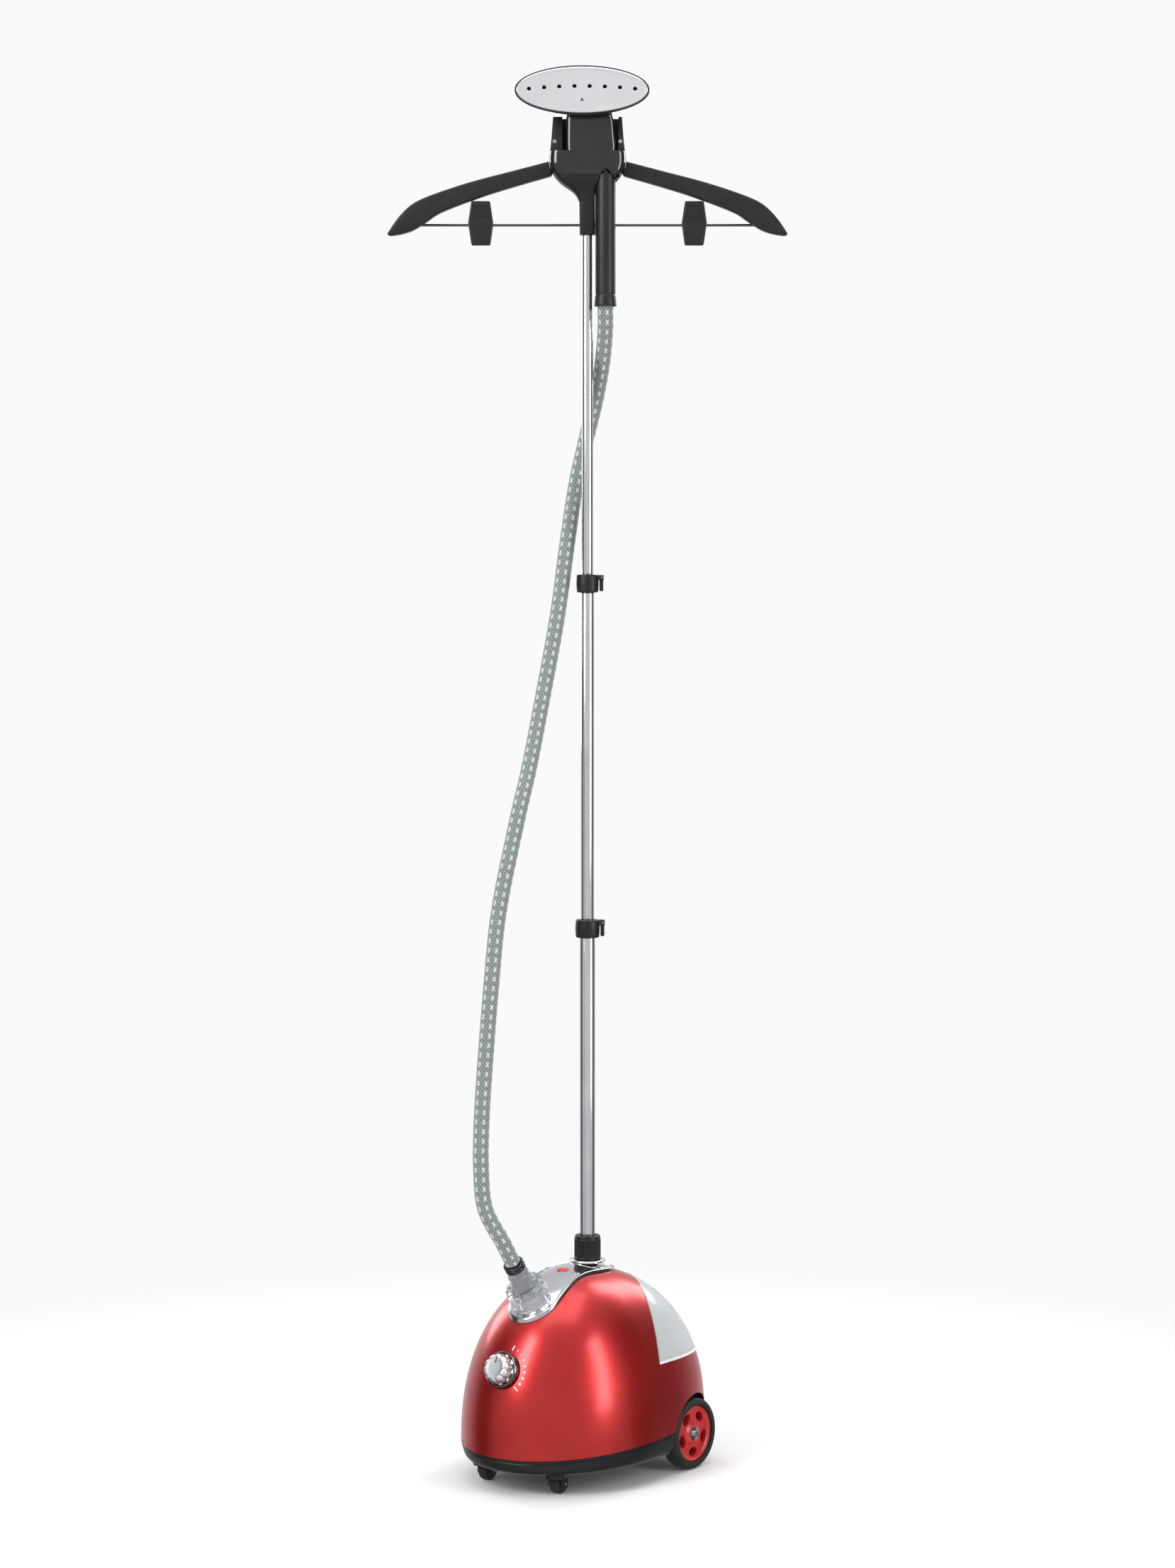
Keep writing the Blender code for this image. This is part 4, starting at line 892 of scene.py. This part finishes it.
# ---- hanger
def rounded(half_x, half_y, height, power=5, shift=0):
    ring = []
    for angle in angles(120):
        c, s = cos(angle), sin(angle)
        radius = (abs(c / half_x) ** power + abs(s / half_y) ** power) ** (-1 / power)
        ring.append((shift + radius * c, radius * s, height))
    return ring


def hub_form(name, grow=0.0):
    sections = [(0.0092, 0.0092, 1.424), (0.015, 0.012, 1.434), (0.031, 0.019, 1.446), (0.04, 0.0225, 1.458),
                (0.0425, 0.0235, 1.47), (0.0405, 0.023, 1.49), (0.0385, 0.022, HUB_TOP - 0.0012)]
    sections = [(0.0086, 0.0086, STEM_BOTTOM), (0.0088, 0.0088, STEM_BOTTOM + 0.0006),
                *smooth_points(sections, 36), (0.038, 0.0215, HUB_TOP)]
    return loft(name, [rounded(x + grow, y + grow, z) for x, y, z in sections], HANGER)


def make_hub():
    """The hanger's hub with the cradle's pocket in it, and the cover on the cradle's front."""
    def cradle(name, *others):
        """The hub's form with the pocket and the handle's way cut out."""
        pocket = box("pocket", (-0.028, -0.0175, 1.45), (0.0345, 0.008, 1.6), HANGER)
        return cut(hub_form(name), pocket, rod("handle_way", 0.0125, 1.38, 1.46, HANDLE), *others)

    hub = cradle("v_hub", box("hub_front", (-0.06, -0.05, COVER_BOTTOM - 0.0004), (0.06, -0.011, 1.6), HANGER),
                 rod("stem_bore", UPPER_RADIUS + 0.0004, 1.37, POLE_TOP + 0.0005, HANGER))
    cut(hub, rod("stem_cross_hole", BAR_RADIUS + 0.0004, -0.03, 0.03, BAR))
    bevel(hub, 0.0005, 2, 45)
    dress(smooth(hub, 40), "black_plastic", "upper_stage", "hanger_hub")

    cover = cradle("v_cover", rod("handle_rise", 0.0118, 1.44, 1.6, HANDLE))
    keep = box("cover_keep", (-0.06, -0.05, COVER_BOTTOM), (0.06, -0.0114, COVER_TOP), HANGER)
    trim(cover, keep)
    bevel(cover, 0.0008, 3, 45)
    dress(smooth(cover, 40), "gloss_black", "upper_stage", "cradle_cover")
    screw = mm([(0, 0.6), (2, 0.5), (2.4, 0.1), (2.4, -1), (0, -1)])
    for side, word in SIDES:
        place = HANGER @ at(side * 0.0365, -0.011, 1.49) @ UPRIGHT
        dress(lathe(f"v_hub_screw_{word}", screw, place, 48), "steel", "upper_stage")


def make_arms():
    top = [(0.0375, 1.47), (0.08, 1.459), (0.13, 1.446), (0.17, 1.433), (0.192, 1.4235), (0.205, 1.413),
           (0.215, 1.401), (TIP_X, 1.388)]
    under = mm([(219, 1386.8), (206, 1389), (193, 1393.5), (178, 1403), (162, 1413), (120, 1429), (80, 1441.5),
                (39.5, 1453)])
    outline = []
    for line, count in ((top, 40), (under, 36)):
        outline += [(point.x, point.z) for point in smooth_points([(x, 0, z) for x, z in line], count)]
    for side, word in SIDES:
        arm = prism(f"v_arm_{word}", [(side * x, z) for x, z in outline], -0.0075, 0.0075, HANGER @ UPRIGHT)
        step = bmesh.new()
        step.from_mesh(arm.data)
        outward(step)
        step.to_mesh(arm.data)
        step.free()
        bevel(arm, 0.0022, 4, 50)
        seat = rod(f"bar_seat_{word}", BAR_RADIUS + 0.0004, *sorted((side * 0.17, side * 0.1935)),
                   BAR)
        cut(arm, seat, hub_form(f"hub_room_{word}", 0.0004))
        dress(smooth(arm, 40), "black_plastic", "upper_stage", f"hanger_arm_{word}")
    bar = rod("v_cross_bar", BAR_RADIUS, -0.193, 0.193, BAR, 40)
    dress(bar, "dark_chrome", "upper_stage", "cross_bar")


def make_clips():
    half = CLIP_HALF_HEIGHT
    outline = [(-0.0105, half), (-0.014, 0), (-0.0105, -half), (0.0105, -half), (0.014, 0), (0.0105, half)]
    for side, word in SIDES:
        spot = HANGER @ at(side * CLIP_X, BAR_Y, BAR_Z + 0.002) @ UPRIGHT
        back = bevel(prism(f"v_clip_{word}", outline, -0.0085, -0.0022, spot), 0.0016, 4)
        lug = bevel(box(f"lug_{word}", (-0.004, -0.009, -0.006), (0.004, 0.004, 0.0019), spot), 0.0008, 3)
        join(back, lug)
        along = HANGER @ sideways(side * CLIP_X, BAR_Y, BAR_Z)
        cut(back, rod(f"clip_bore_{word}", BAR_RADIUS + 0.0004, -0.02, 0.02, along))
        dress(smooth(back), "black_plastic", f"clip_{word}_slide", f"clip_{word}")
        front = bevel(prism(f"v_jaw_{word}", outline, 0.004, 0.0085, spot), 0.0016, 4)
        for ridge in range(5):
            low = 0.006 + 0.003 * ridge
            reach = 0.0098 - 0.00015 * ridge * 2
            cut(front, box(f"ridge_{word}_{ridge}", (-reach, low, 0.0079), (reach, low + 0.0011, 0.01), spot))
        dress(smooth(front), "black_plastic", f"jaw_{word}", f"clip_jaw_{word}")


# ---- steam head
def make_head():
    face = HANGER @ at(HEAD_X, 0, HEAD_Z) @ UPRIGHT
    half_x, half_z = PLATE_HALF_WIDTH - 0.0008, PLATE_HALF_HEIGHT - 0.0008
    steps = mm([(0, 36), (0, 38.8), (0.3, 39.4), (1, 39.9), (2, 40), (3, 39.8), (4, 39.5), (6, 39.5)])
    rings = [[(x, y, depth) for x, y in oval(half_x - inset, half_z - inset, 160)] for inset, depth in steps]
    plate = loft("v_face_plate", rings, face)
    for hole in range(8):
        along = hole / 3.5 - 1
        spot = face @ at(0.0585 * along, 0.004 - 0.003 * along**2, 0)
        drill = mm([(0, 60), (2.9, 60), (2.9, 39.4), (2.2, 38.8), (2.2, 30), (0, 30)])
        cut(plate, lathe(f"steam_hole_{hole}", drill, spot, 48))
    dress(smooth(plate, 30), "face_white", "head", "face_plate")
    mark = mm([(0, -8.5), (-2.2, -12), (2.2, -12)])
    triangle = prism("v_plate_mark", mark, 0.039, 0.03962, face)
    dress(triangle, "dark_chrome", "head")

    sections = mm([(26, 15, 0.5), (36, 19, 8), (56, 23.5, 18), (70, 26.3, 27), (74.2, 26.8, 33)])
    full = [(0.025, 0.0142, 0.0)] + [tuple(point) for point in smooth_points(sections, 30)]
    full += [(0.0745, 0.027, 0.0345), (0.0745, 0.027, 0.0376), (0.0742, 0.0267, 0.0384), (0.0738, 0.0263, 0.0388)]
    shell = loft("v_head_shell", [[(x, y, depth) for x, y in oval(a, b, 160)] for a, b, depth in full], face)
    cut(shell, prism("plate_recess", oval(half_x + 0.0004, half_z + 0.0004, 160), 0.0357, 0.05, face),
        prism("steam_chamber", oval(PLATE_HALF_WIDTH - 0.01, PLATE_HALF_HEIGHT - 0.008, 120), 0.026, 0.038, face))
    neck_sections = mm([(26, 8, 1454.5), (28, 9.2, 1485), (27, 9.4, 1510), (24, 9.2, 1532)])
    neck = loft("head_neck", [rounded(*section, 4, shift) for section, shift in
                              zip(neck_sections, (0.004, 0.004, 0.003, 0.001))], HANGER @ at(0, -0.0077, 0))
    join(shell, neck)
    cut(shell, rod("steam_way", 0.006, 1.44, 1.545, HANGER @ at(HANDLE_X - 0.004, HANDLE_Y, 0)))
    dress(smooth(shell), "gloss_black", "head", "head_shell")

    profile = [(0.0095, HANDLE_BOTTOM), (0.0095, 1.4542), (0.0109, 1.4542), (HANDLE_RADIUS, 1.4536),
               (HANDLE_RADIUS, HANDLE_BOTTOM + 0.0145), (0.0108, HANDLE_BOTTOM + 0.0138),
               (0.0108, HANDLE_BOTTOM + 0.0126), (0.0114, HANDLE_BOTTOM + 0.0118), (0.0119, HANDLE_BOTTOM + 0.007),
               (0.0123, HANDLE_BOTTOM + 0.0022), (0.0124, HANDLE_BOTTOM + 0.0008), (0.012, HANDLE_BOTTOM)]
    grip = lathe("v_grip", rounded_profile(profile, 0.0003, 2), HANDLE, 96)
    dress(grip, "black_plastic", "head", "handle_grip")


# ---- hose
def hose_route():
    """From the connector round behind the pole and up into the handle, in the hanger's frame."""
    to_hanger = HANGER.inverted() @ PORT
    ends = [to_hanger @ Vector((0, 0, CONNECTOR_LENGTH + beyond)) for beyond in (0.0012, 0.03)]
    free = mm([(-112, -129, 316), (-116.5, -130, 360), (-116, -126, 410), (-112.5, -119, 470), (-106, -106, 555),
               (-97.5, -90, 640), (-78, -65, 738), (-65, -43, 795), (-51, -20, 868), (-34, 0, 962), (-23.5, 12, 1040),
               (-13, 22.5, 1110), (-2, 26.5, 1160), (9, 23.5, 1205), (16.5, 12, 1245), (19.8, -3, 1280)])
    return ends + [Vector(point) for point in free] + [Vector((HANDLE_X, HANDLE_Y, HANDLE_BOTTOM - 0.0003))]


def make_hose():
    """The braided hose. Its last stretch lies inside the handle, so that the handle can lift off its hook."""
    inside = [Vector((HANDLE_X, HANDLE_Y, HANDLE_BOTTOM + reach)) for reach in (0.03, 0.06, 0.09, HOSE_REACH)]
    path = [HANGER @ point for point in smooth_points(hose_route() + inside, 420)]
    bm = bmesh.new()
    weave = bm.loops.layers.uv.new("weave")
    side = Vector((cos(HANGER_TURN), sin(HANGER_TURN), 0))
    rows, run, travelled = [], [], 0.0
    ring = oval(HOSE_RADIUS, HOSE_RADIUS, HOSE_SIDES)
    for i, point in enumerate(path):
        ahead = (path[min(i + 1, len(path) - 1)] - path[max(i - 1, 0)]).normalized()
        side = (side - ahead * side.dot(ahead)).normalized()
        other = ahead.cross(side)
        travelled += (point - path[i - 1]).length if i else 0.0
        run.append(travelled)
        rows.append([bm.verts.new(point + side * x + other * y) for x, y in ring])
    for i in range(len(rows) - 1):
        for j in range(HOSE_SIDES):
            k = (j + 1) % HOSE_SIDES
            made = bm.faces.new((rows[i][j], rows[i][k], rows[i + 1][k], rows[i + 1][j]))
            for loop, (u, v) in zip(made.loops, ((j, i), (j + 1, i), (j + 1, i + 1), (j, i + 1))):
                loop[weave].uv = (u / HOSE_SIDES, run[v] / WEAVE_PITCH)
    bm.faces.new(rows[0][::-1])
    bm.faces.new(rows[-1])
    hose = smooth(mesh_object("v_hose", bm, Matrix.Identity(4)), 60)
    dress(hose, "hose_braid", "root", "hose")
    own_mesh(hose)


# ---- stage and light
def area_light(name, place, aim, width, height, power):
    data = bpy.data.lights.new(name, "AREA")
    data.shape = "RECTANGLE"
    data.size, data.size_y = width, height
    data.energy = power
    lamp = bpy.data.objects.new(name, data)
    bpy.context.scene.collection.objects.link(lamp)
    lamp.location = place
    lamp.rotation_euler = (aim - place).to_track_quat("-Z", "Y").to_euler()


def make_world(front):
    """White to the eye and as fill light. Bright metal sees a room that darkens to both sides of the front."""
    world = bpy.data.worlds.new("studio")
    bpy.context.scene.world = world
    world.use_nodes = True
    tree = world.node_tree

    def mix(share, first, second):
        return add_node(tree, "Mix", {0: share, 6: first, 7: second}, data_type="RGBA").outputs[2]

    where = add_node(tree, "TexCoord").outputs["Generated"]
    facing = add_node(tree, "VectorMath", {0: where, 1: front}, operation="DOT_PRODUCT").outputs["Value"]
    share = add_node(tree, "MapRange", {"From Min": -1, "Value": facing}).outputs["Result"]
    walls = [(0.0, 0.74), (0.22, 0.58), (0.35, 0.07), (0.53, 0.06), (0.62, 0.5), (1.0, 0.66)]
    room = colour_ramp(tree, share, [(position, (value, value, value * 1.02)) for position, value in walls])
    height = add_node(tree, "SeparateXYZ", {"Vector": where}).outputs["Z"]
    above = add_node(tree, "MapRange", {"From Min": 0.55, "From Max": 0.95, "Value": height}).outputs["Result"]
    ceiling = mix(above, room, (0.85, 0.86, 0.88, 1))
    rays = add_node(tree, "LightPath").outputs
    seen = mix(rays["Is Glossy Ray"], (0.64, 0.64, 0.65, 1), ceiling)
    shown = mix(rays["Is Camera Ray"], seen, (0.955, 0.955, 0.96, 1))
    tree.links.new(shown, tree.nodes["Background"].inputs["Color"])


def make_studio():
    """A pale floor that fades out into the white round it, and soft light from both sides and above."""
    bm = bmesh.new()
    bmesh.ops.create_circle(bm, cap_ends=True, segments=96, radius=FLOOR_RADIUS)
    floor = mesh_object("studio_floor", bm, BASE)
    floor.data.materials.append(floor_paint())
    floor.visible_glossy = False

    for name, where, aim_height, width, height, power in (
        ("key", (-2.2, -1.9, 2.3), 0.6, 0.9, 2.2, 62),
        ("fill", (2.3, -1.5, 1.2), 0.6, 0.6, 2.2, 30),
        ("top", (0.0, -0.2, 3.4), 0.3, 2.6, 2.2, 34),
        ("rim", (1.6, 1.7, 2.2), 0.7, 0.8, 1.8, 24),
        ("back", (-1.8, 2.0, 1.6), 0.6, 1.0, 1.8, 20),
    ):
        area_light(name, HANGER @ Vector(where), HANGER @ Vector((0, 0, aim_height)), width, height, power)

    make_world(Vector((sin(HANGER_TURN), -cos(HANGER_TURN), 0)))
    bpy.context.scene.view_settings.view_transform = "Standard"
    bpy.context.scene.view_settings.look = "None"


# ---- everything
make_surfaces()
make_red_lacquer()
make_hose_braid()
make_tray()
make_shell()
make_panel()
HOSE_ENDS = make_port()
make_knob()
make_lens()
make_tank()
make_wheels()
make_pole()
make_hub()
make_arms()
make_clips()
make_head()
make_hose()

dress_cad("black_plastic", "tank_bay", "tank_cap", "valve_seat", "drain_plug", "rotary_switch", "caster_fork_left",
          "caster_fork_right")
dress_cad("steel", "rear_axle", "caster_axle_left", "caster_axle_right", "knob_shaft", "heating_element",
          "thermostat")
dress_cad("cast_aluminium", "boiler")
dress_cad("tyre_rubber", "tank_valve", "cord_inlet")
dress_cad("white_plastic", "feed_tube", "steam_tube")
dress_cad("clear", "indicator_lamp")

make_camera()
make_studio()
